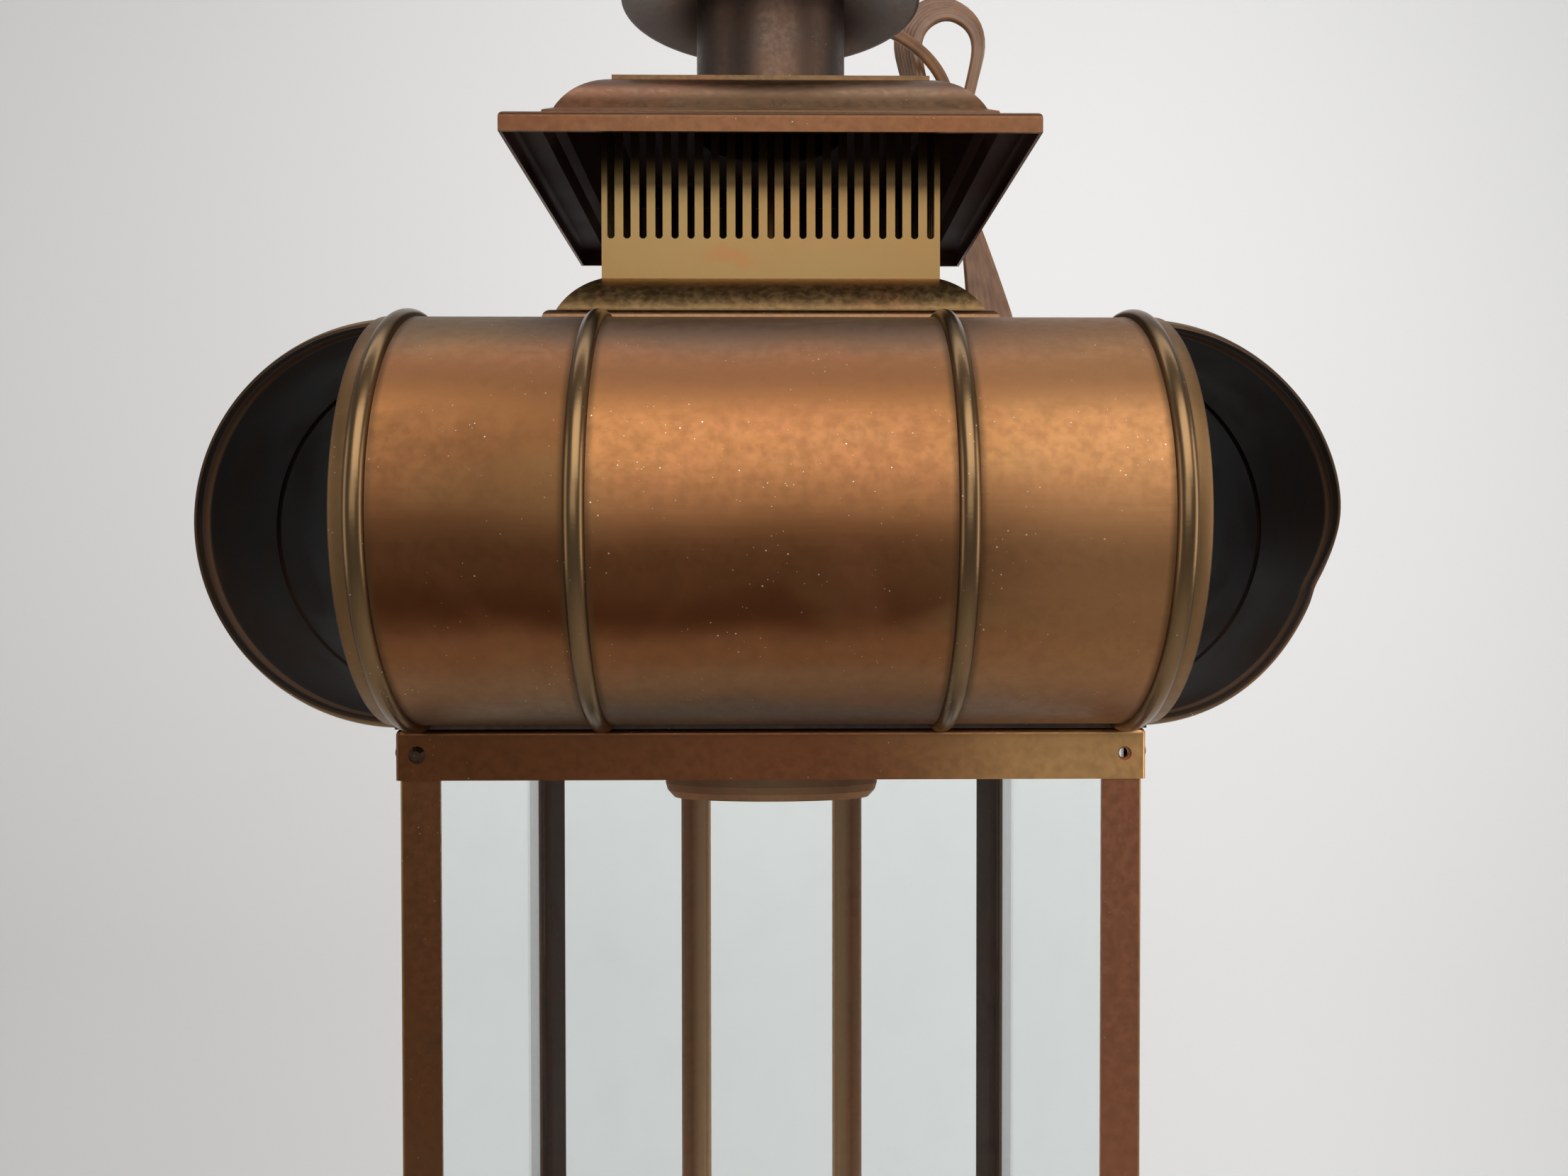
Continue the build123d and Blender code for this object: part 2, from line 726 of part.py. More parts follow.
# Pull knob under the hatch's front rail
y_knob = -(hatch_half - hatch_rail / 2)
z_knob_neck = z_base_foot - knob_neck
z_knob_tip = z_base_foot - knob_length
knob_levels = [
    (knob_tip_r, z_knob_tip),
    (knob_r, z_knob_tip + knob_tip_r),
    (knob_r, z_knob_neck - knob_tip_r),
    (knob_neck_r, z_knob_neck),
    (knob_neck_r, z_base_foot),
]
with BuildPart() as hatch_knob:
    add(stepped(knob_levels, knob_reach, y_knob))
save(hatch_knob, "hatch_knob")

# Turn button that swings under the hatch's edge, on a screw in the base's floor
with BuildPart() as turn_button:
    with BuildSketch(Plane.XY.offset(z_base_foot - button_clear)):
        with Locations(((button_reach - button_tail) / 2, y_button)):
            RectangleRounded(button_reach + button_tail, button_width, button_round)
        with Locations((0, y_button)):
            Circle(button_screw_r + screw_clear, mode=Mode.SUBTRACT)
    extrude(amount=-button_thick)
save(turn_button, "turn_button")

with BuildPart() as button_screw:
    with BuildSketch(Plane.XY.offset(z_base_floor + band_sheet)):
        with Locations((0, y_button)):
            Circle(button_screw_r)
    extrude(amount=-(2 * band_sheet + 2 * button_clear + button_thick))
    with BuildSketch(Plane.XY.offset(z_base_foot - 2 * button_clear - button_thick)):
        with Locations((0, y_button)):
            Circle(button_head_r)
    extrude(amount=-button_head_height, taper=screw_head_taper)
save(button_screw, "button_screw")

# Centre pipe with its nuts: above and below the tray, and under the lamp bar
z_bar_nut = z_bar_foot + nut_recess - nut_height
pipe_foot = z_bar_nut - pipe_clear
with BuildPart() as centre_pipe:
    with BuildSketch(Plane.XY.offset(pipe_foot)):
        Circle(pipe_r)
        Circle(pipe_bore_r, mode=Mode.SUBTRACT)
    extrude(amount=z_pipe_top - pipe_foot)
save(centre_pipe, "centre_pipe")

with BuildPart() as pipe_nuts:
    for z in (z_tray_top, z_tray_top - band_sheet - nut_height, z_bar_nut):
        with BuildSketch(Plane.XY.offset(z)):
            RegularPolygon(nut_flats / 2, 6, major_radius=False)
            RegularPolygon(shaft_hole_r, screw_side_count, major_radius=False, mode=Mode.SUBTRACT)
        extrude(amount=nut_height)
save(pipe_nuts, "pipe_nuts")

# Lamp bar: an oval moulded body, drawn in towards its foot, with sockets for the stems
with BuildPart() as lamp_bar:
    for tier in range(bar_tiers):
        share = tier / (bar_tiers - 1)
        shrink = bar_turn_in * share**2
        with BuildSketch(Plane.XY.offset(z_bar_step - bar_lower * share)):
            Ellipse(bar_length_half - shrink, bar_depth_half - shrink / 2)
    loft(ruled=True)
    with BuildSketch(Plane.XY.offset(z_bar_step)):
        Ellipse(bar_length_half, bar_depth_half)
    extrude(amount=bar_upper)
    with BuildSketch(Plane.XY.offset(z_bar_foot)):
        with Locations((-stem_reach, 0), (stem_reach, 0)):
            Circle(stem_r + pipe_clear)
    extrude(amount=stem_socket, mode=Mode.SUBTRACT)
    with BuildSketch(Plane.XY.offset(z_bar_foot)):
        Circle(nut_recess_r)
    extrude(amount=nut_recess, mode=Mode.SUBTRACT)
    with BuildSketch(Plane.XY.offset(z_bar_foot)):
        Circle(shaft_hole_r)
    extrude(amount=bar_upper + bar_lower, mode=Mode.SUBTRACT)
save(lamp_bar, "lamp_bar")

# Stem tubes from the bar down to the lamp pan
for side, sign in (("left", -1), ("right", 1)):
    with BuildPart() as stem:
        with BuildSketch(Plane.XY.offset(z_pan)):
            with Locations((sign * stem_reach, 0)):
                Circle(stem_r)
                Circle(stem_r - stem_wall, mode=Mode.SUBTRACT)
        extrude(amount=z_bar_foot + stem_socket - z_pan)
    save(stem, f"stem_{side}")

# Lamp pan with a turned-up rim
with BuildPart() as lamp_pan:
    with BuildSketch(Plane.XZ):
        with BuildLine():
            Polyline(
                (0, z_pan),
                (0, z_pan - pan_sheet),
                (pan_r - pan_rim, z_pan - pan_sheet),
                (pan_r, z_pan + pan_rim),
                (pan_r - pan_sheet, z_pan + pan_rim),
                (pan_r - pan_rim - pan_sheet, z_pan),
                close=True,
            )
        make_face()
    revolve(axis=Axis.Z)
save(lamp_pan, "lamp_pan")

# Candles: drip cup, lamp socket, sleeve and bulb at each place on the pan
z_cup = z_pan + cup_sheet
z_cup_rim = z_pan + cup_height
z_sleeve_top = z_cup + sleeve_height
z_socket_top = z_sleeve_top - pipe_clear
z_cap_seat = z_socket_top - socket_depth
z_bulb = z_cap_seat + bulb_cap_length
z_belly = z_bulb + bulb_belly
z_bulb_top = z_bulb + bulb_height
cup_foot_r = cup_r - cup_height
sleeve_bore_r = sleeve_r - sleeve_wall
bulb_cap_tip_r = bulb_cap_r / 2


def candle_pieces(name, levels, hollow=()):
    """The same piece at each candle, less its hollow."""
    with BuildPart() as pieces:
        for y in (-candle_reach, candle_reach):
            add(stepped(levels, 0, y))
            if hollow:
                add(stepped(hollow, 0, y), mode=Mode.SUBTRACT)
    save(pieces, name)


candle_pieces(
    "candle_cups",
    [(cup_foot_r, z_pan), (cup_r, z_cup_rim)],
    [(cup_foot_r - cup_sheet, z_cup), (cup_r - cup_sheet, z_cup_rim)],
)
candle_pieces(
    "candle_sleeves",
    [(sleeve_r, z_cup), (sleeve_r, z_sleeve_top)],
    [(sleeve_bore_r, z_cup), (sleeve_bore_r, z_sleeve_top)],
)
candle_pieces(
    "lamp_sockets",
    [(socket_r, z_cup), (socket_r, z_socket_top)],
    [(socket_bore_r, z_cap_seat), (socket_bore_r, z_socket_top)],
)
candle_pieces(
    "bulb_caps",
    [(bulb_cap_tip_r, z_cap_seat), (bulb_cap_r, z_cap_seat + bulb_cap_tip_r), (bulb_cap_r, z_bulb)],
)
candle_pieces(
    "bulbs",
    [
        (bulb_neck_r, z_bulb),
        (bulb_r * 0.88, z_bulb + bulb_belly * 0.5),
        (bulb_r, z_belly),
        (bulb_r * 0.66, z_belly + (z_bulb_top - z_belly) * 0.55),
        (bulb_r * 0.34, z_belly + (z_bulb_top - z_belly) * 0.81),
        (bulb_tip_r, z_bulb_top),
    ],
)


def cord_radii(points):
    """Radius for each corner of a cord's route, as large as the two runs beside it allow."""
    radii = []
    for before, here, after in zip(points, points[1:], points[2:]):
        run_in = here - before
        run_out = after - here
        half_turn = radians(run_in.get_angle(run_out)) / 2
        radii.append(0.45 * min(run_in.length, run_out.length) / tan(half_turn))
    return radii


def hank_point(turn, across, up, pitches=0.0):
    """Place in the hank: across and up from the waist, on one loop's own plane."""
    depth = (turn + pitches) * hank_pitch
    return Vector(hank_x + across, hank_y + depth, z_waist + up)


def hank_points():
    """Route of the hank: each loop goes down on the right, up on the left, and over to the next."""
    points = []
    for turn in range(hank_turn_count):
        foot = foot_half + foot_half_step * turn
        head = head_half + head_half_step * turn
        foot_end = foot_depth + foot_depth_step * turn
        head_end = head_height + head_height_step * turn
        foot_side = foot_end - loop_crown * foot
        head_side = head_end - loop_crown * head
        foot_run = (waist_half + foot) / 2 + run_bow
        head_run = (waist_half + head) / 2 + run_bow
        points += [
            hank_point(turn, waist_half, 0),
            hank_point(turn, foot_run, -foot_side / 2),
            hank_point(turn, foot, -foot_side),
            hank_point(turn, 0, -foot_end),
            hank_point(turn, -foot, -foot_side),
            hank_point(turn, -foot_run, -foot_side / 2),
            hank_point(turn, -waist_half, 0),
            hank_point(turn, -head_run, head_side / 2),
            hank_point(turn, -head, head_side),
            hank_point(turn, 0, head_end),
            hank_point(turn, head, head_side),
            hank_point(turn, head_run, head_side / 2, 0.5),
        ]
    points.append(hank_point(hank_turn_count, waist_half, 0))
    points.append(hank_point(hank_turn_count, waist_half + run_bow, -tail_drop))
    return points


def cord_tube(points, name):
    """Sweeps the cord along a route and returns its centre line; prints its radii and volume."""
    radii = cord_radii(points)
    with BuildPart() as tube:
        with BuildLine() as route:
            FilletPolyline(*points, radius=radii)
        centre = route.wires()[0]
        with BuildSketch(Plane(origin=centre @ 0, z_dir=centre % 0)):
            RegularPolygon(cord_r, cord_side_count)
        section = tube.pending_faces[0].area
        sweep(path=centre)
    share = tube.part.volume / (section * centre.length)
    print(name, "length", round(centre.length), "volume share", round(share, 4))
    print(name, "radii", [round(r, 1) for r in radii])
    save(tube, name)
    return centre


def least_gap(line, step):
    """Least gap between parts of a tube that aren't next to each other along it."""
    count = int(line.length / step)
    places = [line @ (i / count) for i in range(count + 1)]
    apart = int(4 * cord_r * pi / step)
    gaps = []
    for i in range(0, count, 2):
        for j in range(i + apart, count + 1):
            gaps.append((places[i] - places[j]).length)
    return min(gaps) - 2 * cord_r


# Cord: the lead out of the bushing, then the hank
hank = hank_points()
hank_line = cord_tube(hank, "cord_hank")
print("cord_hank least gap", round(least_gap(hank_line, cord_r), 2))
outlet = Vector(0, bushing_seat + bushing_flange, z_outlet)
entry = (hank[0] - hank[1]).normalized()
over = hank[0] - outlet
lead = [
    outlet - Vector(0, cord_inside, 0),
    outlet + Vector(0, over.Y * 0.17, lead_arch * 0.25),
    outlet + Vector(over.X * 0.14, over.Y * 0.43, lead_arch),
    outlet + Vector(over.X * 0.41, over.Y * 0.68, lead_arch * 0.45),
    outlet + Vector(over.X * 0.72, over.Y * 0.86, -lead_arch),
    outlet + Vector(over.X * 0.91, over.Y * 0.94, over.Z * 0.33),
    hank[0] + entry * entry_run,
    hank[0],
]
cord_tube(lead, "cord_lead")

# Tie round the waist of the hank
tie_x = waist_half + cord_r + tie_clear + tie_spread
tie_depth = hank_turn_count * hank_pitch / 2 + cord_r + tie_clear
with BuildPart() as cord_tie:
    with BuildSketch(Plane.XY.offset(z_waist - tie_height / 2)):
        with Locations((hank_x, hank_y + hank_turn_count * hank_pitch / 2)):
            RectangleRounded(2 * (tie_x + tie_sheet), 2 * (tie_depth + tie_sheet), cord_r + tie_sheet)
            RectangleRounded(2 * tie_x, 2 * tie_depth, cord_r, mode=Mode.SUBTRACT)
    extrude(amount=tie_height)
save(cord_tie, "cord_tie")

# Bare ends of the two conductors
tail_end = hank_line @ 1
tail_way = hank_line % 1
with BuildPart() as cord_bare_ends:
    with BuildSketch(Plane(origin=tail_end, x_dir=(1, 0, 0), z_dir=tail_way)):
        with Locations((-bare_apart, 0), (bare_apart, 0)):
            Circle(bare_r)
    extrude(amount=bare_length)
save(cord_bare_ends, "cord_bare_ends")
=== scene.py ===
from math import cos, exp, pi, radians, sin

import bmesh
import bpy
from mathutils import Matrix, Vector


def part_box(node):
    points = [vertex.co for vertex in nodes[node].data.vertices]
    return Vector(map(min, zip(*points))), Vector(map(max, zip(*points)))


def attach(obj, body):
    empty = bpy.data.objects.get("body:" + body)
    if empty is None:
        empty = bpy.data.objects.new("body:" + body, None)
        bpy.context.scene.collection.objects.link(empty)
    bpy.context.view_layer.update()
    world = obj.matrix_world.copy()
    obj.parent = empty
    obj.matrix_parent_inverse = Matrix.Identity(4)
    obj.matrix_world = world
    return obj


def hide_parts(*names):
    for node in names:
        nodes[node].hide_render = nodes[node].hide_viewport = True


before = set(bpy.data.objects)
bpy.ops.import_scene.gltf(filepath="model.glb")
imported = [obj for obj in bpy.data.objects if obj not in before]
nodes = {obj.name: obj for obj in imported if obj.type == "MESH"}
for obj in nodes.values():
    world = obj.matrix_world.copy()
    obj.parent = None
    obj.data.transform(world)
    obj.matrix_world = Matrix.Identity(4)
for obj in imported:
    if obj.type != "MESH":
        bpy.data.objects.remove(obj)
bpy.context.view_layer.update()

# Sizes shared with the part's source, in millimetres
MM = 0.001
BODY_HALF = 126.2
HOOD_R = 67.2
HOOD_WALL = 1.0
HOOD_END_GAP = 2.0
HOOD_HALF = BODY_HALF - HOOD_END_GAP
HOOD_INNER_R = HOOD_R - HOOD_WALL
Z_HOOD = -280.5
Z_TRAY_EDGE = -366.9
BEAD_END = 116.9
BEAD_MIDDLE = 55.6
SIDES = {"front": 0, "right": 90, "back": 180, "left": 270}


def finish_mesh(mesh, name):
    """Smooth-shaded object made of a mesh in work."""
    data = bpy.data.meshes.new(name)
    mesh.to_mesh(data)
    mesh.free()
    for face in data.polygons:
        face.use_smooth = True
    piece = bpy.data.objects.new(name, data)
    bpy.context.scene.collection.objects.link(piece)
    return piece


def sharpen(piece, degrees):
    """Keeps edges sharper than this angle crisp under smooth shading."""
    mesh = bmesh.new()
    mesh.from_mesh(piece.data)
    for edge in mesh.edges:
        edge.smooth = len(edge.link_faces) == 2 and edge.calc_face_angle(0.0) < radians(degrees)
    mesh.to_mesh(piece.data)
    mesh.free()


# Camera, fitted to the photograph
YAW = radians(-0.70)
PITCH = radians(-0.95)
ROLL = radians(-0.06)
CAMERA_PLACE = Vector((-0.92, -535.08, 71.23 + Z_TRAY_EDGE)) * MM
SENSOR_WIDTH = 36.0
FOCAL_PIXELS = 1721.2
PHOTO_PIXELS = 2212


def add_camera():
    forward = Vector((-sin(YAW), cos(YAW), 0))
    right = Vector((cos(YAW), sin(YAW), 0))
    up = Vector((0, 0, 1))
    forward, up = cos(PITCH) * forward + sin(PITCH) * up, cos(PITCH) * up - sin(PITCH) * forward
    right, up = cos(ROLL) * right + sin(ROLL) * up, cos(ROLL) * up - sin(ROLL) * right
    data = bpy.data.cameras.new("camera")
    data.sensor_width = SENSOR_WIDTH
    data.lens = SENSOR_WIDTH * FOCAL_PIXELS / PHOTO_PIXELS
    data.clip_start = 0.01
    camera = bpy.data.objects.new("camera", data)
    bpy.context.scene.collection.objects.link(camera)
    turn = Matrix((right, up, -forward)).transposed().to_4x4()
    camera.matrix_world = Matrix.Translation(CAMERA_PLACE) @ turn
    bpy.context.scene.camera = camera


add_camera()

# Cord: the same route as in the part's source, in millimetres
CORD_WIDTH = 6.2
CORD_THICK = 3.4
CORE_ARC = 244  # degrees of each core's round that lie outside the groove
CORE_STEPS = 8
CORD_INSIDE = 5.0
OUTLET_Y = 10.5
Z_OUTLET = -22.9
LEAD_ARCH = 2.7
LEAD_END = 14.0
HANK_X, HANK_Y, Z_WAIST = 92.0, 104.0, -72.9
HANK_TURNS = 6
HANK_PITCH = 5.4
WAIST_HALF = 5.0
FOOT_HALF, FOOT_WIDER = 16.0, 6.0  # lower loop: half width, and how much wider each turn is
HEAD_HALF, HEAD_WIDER = 18.0, 1.4
FOOT_LENGTH, FOOT_LONGER = 134.5, 2.2
HEAD_LENGTH, HEAD_LONGER = 68.0, 4.0
LOOP_SHOULDER = 0.7  # the shoulder lies this share of the half width before the loop's end
LOOP_BOW = 1.5
TAIL_ACROSS, TAIL_DROP = 6.5, 22.0
FLAT_ENOUGH = 0.8


def hank_route():
    """Corners of the hank's turns, each a lower and an upper loop that meet at the tied waist."""
    points = []

    def at(turn, across, up, pitches=0.0):
        points.append(Vector((HANK_X + across, HANK_Y + (turn + pitches) * HANK_PITCH, Z_WAIST + up)))

    for turn in range(HANK_TURNS):
        foot = FOOT_HALF + FOOT_WIDER * turn
        head = HEAD_HALF + HEAD_WIDER * turn
        foot_end = FOOT_LENGTH + FOOT_LONGER * turn
        head_end = HEAD_LENGTH + HEAD_LONGER * turn
        foot_side = foot_end - LOOP_SHOULDER * foot
        head_side = head_end - LOOP_SHOULDER * head
        foot_run = (WAIST_HALF + foot) / 2 + LOOP_BOW
        head_run = (WAIST_HALF + head) / 2 + LOOP_BOW
        at(turn, WAIST_HALF, 0)
        at(turn, foot_run, -foot_side / 2)
        at(turn, foot, -foot_side)
        at(turn, 0, -foot_end)
        at(turn, -foot, -foot_side)
        at(turn, -foot_run, -foot_side / 2)
        at(turn, -WAIST_HALF, 0)
        at(turn, -head_run, head_side / 2)
        at(turn, -head, head_side)
        at(turn, 0, head_end)
        at(turn, head, head_side)
        at(turn, head_run, head_side / 2, 0.5)
    at(HANK_TURNS, WAIST_HALF, 0)
    at(HANK_TURNS, TAIL_ACROSS, -TAIL_DROP)
    return points


def cord_route():
    """Lead from the outlet over to the hank, and then the hank's turns."""
    hank = hank_route()
    outlet = Vector((0, OUTLET_Y, Z_OUTLET))
    entry = (hank[0] - hank[1]).normalized()
    over = hank[0] - outlet

    def on_way(x_share, y_share, rise):
        return outlet + Vector((over.x * x_share, over.y * y_share, rise))

    lead = [
        outlet - Vector((0, CORD_INSIDE, 0)),
        on_way(0.0, 0.17, LEAD_ARCH * 0.25),
        on_way(0.14, 0.43, LEAD_ARCH),
        on_way(0.41, 0.68, LEAD_ARCH * 0.45),
        on_way(0.72, 0.86, -LEAD_ARCH),
        on_way(0.91, 0.94, over.z * 0.33),
        hank[0] + entry * LEAD_END,
    ]
    return lead + hank


def smooth_path(points):
    """Points along the spline whose control points are the route's points."""
    data = bpy.data.curves.new("cord_route", "CURVE")
    data.dimensions = "3D"
    data.resolution_u = 8
    spline = data.splines.new("NURBS")
    spline.points.add(len(points) - 1)
    for knot, point in zip(spline.points, points):
        knot.co = (*(point * MM), 1.0)
    spline.order_u = 3
    spline.use_endpoint_u = True
    holder = bpy.data.objects.new("cord_route", data)
    bpy.context.scene.collection.objects.link(holder)
    bpy.context.view_layer.update()
    mesh = bpy.data.meshes.new_from_object(holder.evaluated_get(bpy.context.evaluated_depsgraph_get()))
    path = [v.co.copy() for v in mesh.vertices]
    bpy.data.objects.remove(holder)
    bpy.data.meshes.remove(mesh)
    return path


def twin_profile():
    """Section of a flat twin cord: two round cores side by side with a groove between them."""
    core = CORD_THICK / 2
    reach = CORD_WIDTH / 2 - core
    ring = []
    for side in (1, -1):
        for step in range(CORE_STEPS + 1):
            a = radians(CORE_ARC * (step / CORE_STEPS - 0.5))
            ring.append((side * (reach + core * cos(a)), side * core * sin(a)))
    return ring


def add_cord(path):
    """Flat twin cord along the path, wide in the plane of the hank's loops."""
    profile = twin_profile()
    count = len(profile)
    mesh = bmesh.new()
    wide = None
    rings = []
    for i in reversed(range(len(path))):
        before, after = path[max(i - 1, 0)], path[min(i + 1, len(path) - 1)]
        along = (after - before).normalized()
        flat = along.cross(Vector((0, 1, 0)))
        if wide is None or flat.length > FLAT_ENOUGH:
            wide = flat.normalized()
        wide = (wide - along * wide.dot(along)).normalized()
        thick = along.cross(wide)
        rings.append([mesh.verts.new(path[i] + wide * (x * MM) + thick * (y * MM)) for x, y in profile])
    for a, b in zip(rings, rings[1:]):
        for k in range(count):
            mesh.faces.new((a[k], a[(k + 1) % count], b[(k + 1) % count], b[k]))
    mesh.faces.new(rings[0])
    mesh.faces.new(list(reversed(rings[-1])))
    bmesh.ops.recalc_face_normals(mesh, faces=mesh.faces)
    return finish_mesh(mesh, "flat_cord")


cord_path = smooth_path(cord_route())
flat_cord = add_cord(cord_path)
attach(flat_cord, "lantern")
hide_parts("cord_lead", "cord_hank")

# Hoods: half barrels with rounded beads, and the knock in the right one's front rim
RIM_ROUND = 0.25
BEAD_HALF = 3.1
BEAD_RISE = 2.6
BEAD_FOOT = 0.5
BEAD_STEP = 0.15
BEAD_STEPS = 12
HOLLOW_R = 2.2
HOLLOW_STEPS = 8
HOOD_STEPS = 88
HOOD_CRISP = 50
KNOCK_TURN = -0.35  # where round the barrel, in radians from its outermost line
KNOCK_REACH = 70.0
KNOCK_FADE = 1.5
KNOCK_DEPTH, KNOCK_ABOVE, KNOCK_BELOW = 5.4, 0.28, 0.70
CREASE_DEPTH, CREASE_SPREAD = 0.6, 0.06


def hood_section():
    """Outer and inner line of a hood wall as (along, radius): rounded beads, hollows behind them."""
    beads = (-BEAD_END, -BEAD_MIDDLE, BEAD_MIDDLE, BEAD_END)
    foot = BEAD_HALF + BEAD_FOOT
    outer = [(-HOOD_HALF, HOOD_R - RIM_ROUND), (-HOOD_HALF + RIM_ROUND, HOOD_R)]
    inner = [(HOOD_HALF, HOOD_INNER_R)]
    for bead in beads:
        outer += [(bead - foot, HOOD_R), (bead - BEAD_HALF, HOOD_R + BEAD_STEP)]
        for step in range(1, BEAD_STEPS):
            a = pi * step / BEAD_STEPS
            outer.append((bead - BEAD_HALF * cos(a), HOOD_R + BEAD_RISE * sin(a)))
        outer += [(bead + BEAD_HALF, HOOD_R + BEAD_STEP), (bead + foot, HOOD_R)]
    for bead in reversed(beads):
        for step in range(HOLLOW_STEPS + 1):
            a = pi * step / HOLLOW_STEPS
            inner.append((bead + HOLLOW_R * cos(a), HOOD_INNER_R + HOLLOW_R * sin(a)))
    outer += [(HOOD_HALF - RIM_ROUND, HOOD_R), (HOOD_HALF, HOOD_R - RIM_ROUND)]
    inner.append((-HOOD_HALF, HOOD_INNER_R))
    return outer, inner


def knock(along, turn):
    """How far the right hood's front rim is pushed in, in millimetres."""
    near = max(0.0, 1.0 - (along + HOOD_HALF) / KNOCK_REACH)
    off = turn - KNOCK_TURN
    spread = KNOCK_ABOVE if off > 0 else KNOCK_BELOW
    dent = KNOCK_DEPTH * exp(-((off / spread) ** 2)) + CREASE_DEPTH * exp(-((off / CREASE_SPREAD) ** 2))
    return dent * near**KNOCK_FADE


def add_hood(side, angle):
    """Hood skin around its CAD node; faces of the inner line take the second material."""
    outer, inner = hood_section()
    section = outer + inner
    count = len(section)
    out = Vector((sin(radians(angle)), -cos(radians(angle)), 0))
    along = Vector((cos(radians(angle)), sin(radians(angle)), 0))
    mesh = bmesh.new()
    rings = []
    for step in range(HOOD_STEPS + 1):
        turn = pi * (step / HOOD_STEPS - 0.5)
        ring = []
        for x, r in section:
            r -= knock(x, turn) if side == "right" else 0.0
            spot = along * x + out * (BODY_HALF + r * cos(turn)) + Vector((0, 0, Z_HOOD + r * sin(turn)))
            ring.append(mesh.verts.new(spot * MM))
        rings.append(ring)
    for a, b in zip(rings, rings[1:]):
        for k in range(count):
            face = mesh.faces.new((a[k], a[(k + 1) % count], b[(k + 1) % count], b[k]))
            face.material_index = int(len(outer) <= k < count - 1)
    mesh.faces.new(rings[0])
    mesh.faces.new(list(reversed(rings[-1])))
    bmesh.ops.recalc_face_normals(mesh, faces=mesh.faces)
    piece = finish_mesh(mesh, f"hood_skin_{side}")
    sharpen(piece, HOOD_CRISP)
    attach(piece, "lantern")
    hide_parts(f"hood_{side}")
    return piece


hoods = {side: add_hood(side, angle) for side, angle in SIDES.items()}

# Turned pieces: the dish of the rain cap, and the bulbs
TURNED_CRISP = 40
DISH_STEPS = 96
DISH_TOP = -35.5
DISH_HOLE_R, DISH_FLAT_R, DISH_SLOPE_R = 5.15, 35.5, 37.0
DISH_RUN, DISH_DROP, DISH_SAG = 27.0, 14.5, 2.5
DISH_SLOPE_STEPS = 24
DISH_SHEET = 1.2
DISH_RIM_R, DISH_RIM_TOP, DISH_RIM_FOOT = 64.5, -50.2, -51.0
BULB_STEPS = 48
BULB_PLACES = [(0, 40), (0, -40)]
BULB_FOOT = Z_TRAY_EDGE - 292.05
BULB_HEIGHT = 67.4
BULB_RINGS = 32
BULB_WALL = 0.7
TIP_R, BELLY_R, NECK_R = 0.9, 14.3, 6.2
BELLY_REACH, BELLY_BIAS, NECK_FADE = 1.08, 0.62, 6


def lathe(name, section, centres, node, steps):
    """Turned piece with a closed section of (radius, z), which stands for one CAD node."""
    mesh = bmesh.new()
    count = len(section)
    for x, y in centres:
        rings = []
        for step in range(steps):
            a = 2 * pi * step / steps
            spots = [Vector((x + r * cos(a), y + r * sin(a), z)) * MM for r, z in section]
            rings.append([mesh.verts.new(spot) for spot in spots])
        for a, b in zip(rings, rings[1:] + rings[:1]):
            for k in range(count):
                mesh.faces.new((a[k], b[k], b[(k + 1) % count], a[(k + 1) % count]))
    bmesh.ops.recalc_face_normals(mesh, faces=mesh.faces)
    piece = finish_mesh(mesh, name)
    sharpen(piece, TURNED_CRISP)
    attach(piece, "lantern")
    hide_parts(node)
    return piece


def rain_section():
    """Spun dish: flat top, hollow slope, and a small rolled rim."""
    top = [(DISH_HOLE_R, DISH_TOP), (DISH_FLAT_R, DISH_TOP)]
    for step in range(DISH_SLOPE_STEPS + 1):
        share = step / DISH_SLOPE_STEPS
        fall = share * DISH_DROP + DISH_SAG * sin(pi * share)
        top.append((DISH_SLOPE_R + share * DISH_RUN, DISH_TOP - fall))
    under = [(r, z - DISH_SHEET) for r, z in reversed(top)]
    rim = [(DISH_RIM_R, DISH_RIM_TOP), (DISH_RIM_R, DISH_RIM_FOOT)]
    return top + rim + under


def bulb_section():
    """Candle bulb from its neck over a round belly to a slender tip, with a thin wall."""
    outer = []
    for step in range(BULB_RINGS + 1):
        share = step / BULB_RINGS
        belly = max(0.0, sin(pi * min(1.0, share * BELLY_REACH) ** BELLY_BIAS))
        neck = (1 - share) ** NECK_FADE
        outer.append((TIP_R + BELLY_R * belly + NECK_R * neck, BULB_FOOT + BULB_HEIGHT * share))
    inner = [(r - BULB_WALL, z) for r, z in reversed(outer)]
    return outer + inner


rain_skin = lathe("rain_cap_skin", rain_section(), [(0, 0)], "rain_cap", DISH_STEPS)
bulbs = lathe("bulb_glass_envelopes", bulb_section(), BULB_PLACES, "bulbs", BULB_STEPS)

# Panes: ground edges, and a bed of air to the metal around them
PANE_BED = 0.3
PANE_GROUND = 0.5
PANE_CRISP = 20


def add_pane(node, body):
    """Pane that is a hair smaller than its CAD solid, so that light gets between it and the metal."""
    low, high = (Vector(corner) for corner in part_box(node))
    middle = (low + high) / 2
    size = high - low - Vector((2, 2, 2)) * PANE_BED * MM
    mesh = bmesh.new()
    bmesh.ops.create_cube(mesh, size=1.0)
    for vert in mesh.verts:
        vert.co = middle + vert.co * size
    bmesh.ops.bevel(mesh, geom=list(mesh.edges), offset=PANE_GROUND * MM, segments=1, affect="EDGES")
    piece = finish_mesh(mesh, f"{node}_sheet")
    sharpen(piece, PANE_CRISP)
    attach(piece, body)
    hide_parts(node)
    return piece


panes = [add_pane(f"glass_{side}", "lantern") for side in SIDES]
panes.append(add_pane("hatch_glass", "hatch"))


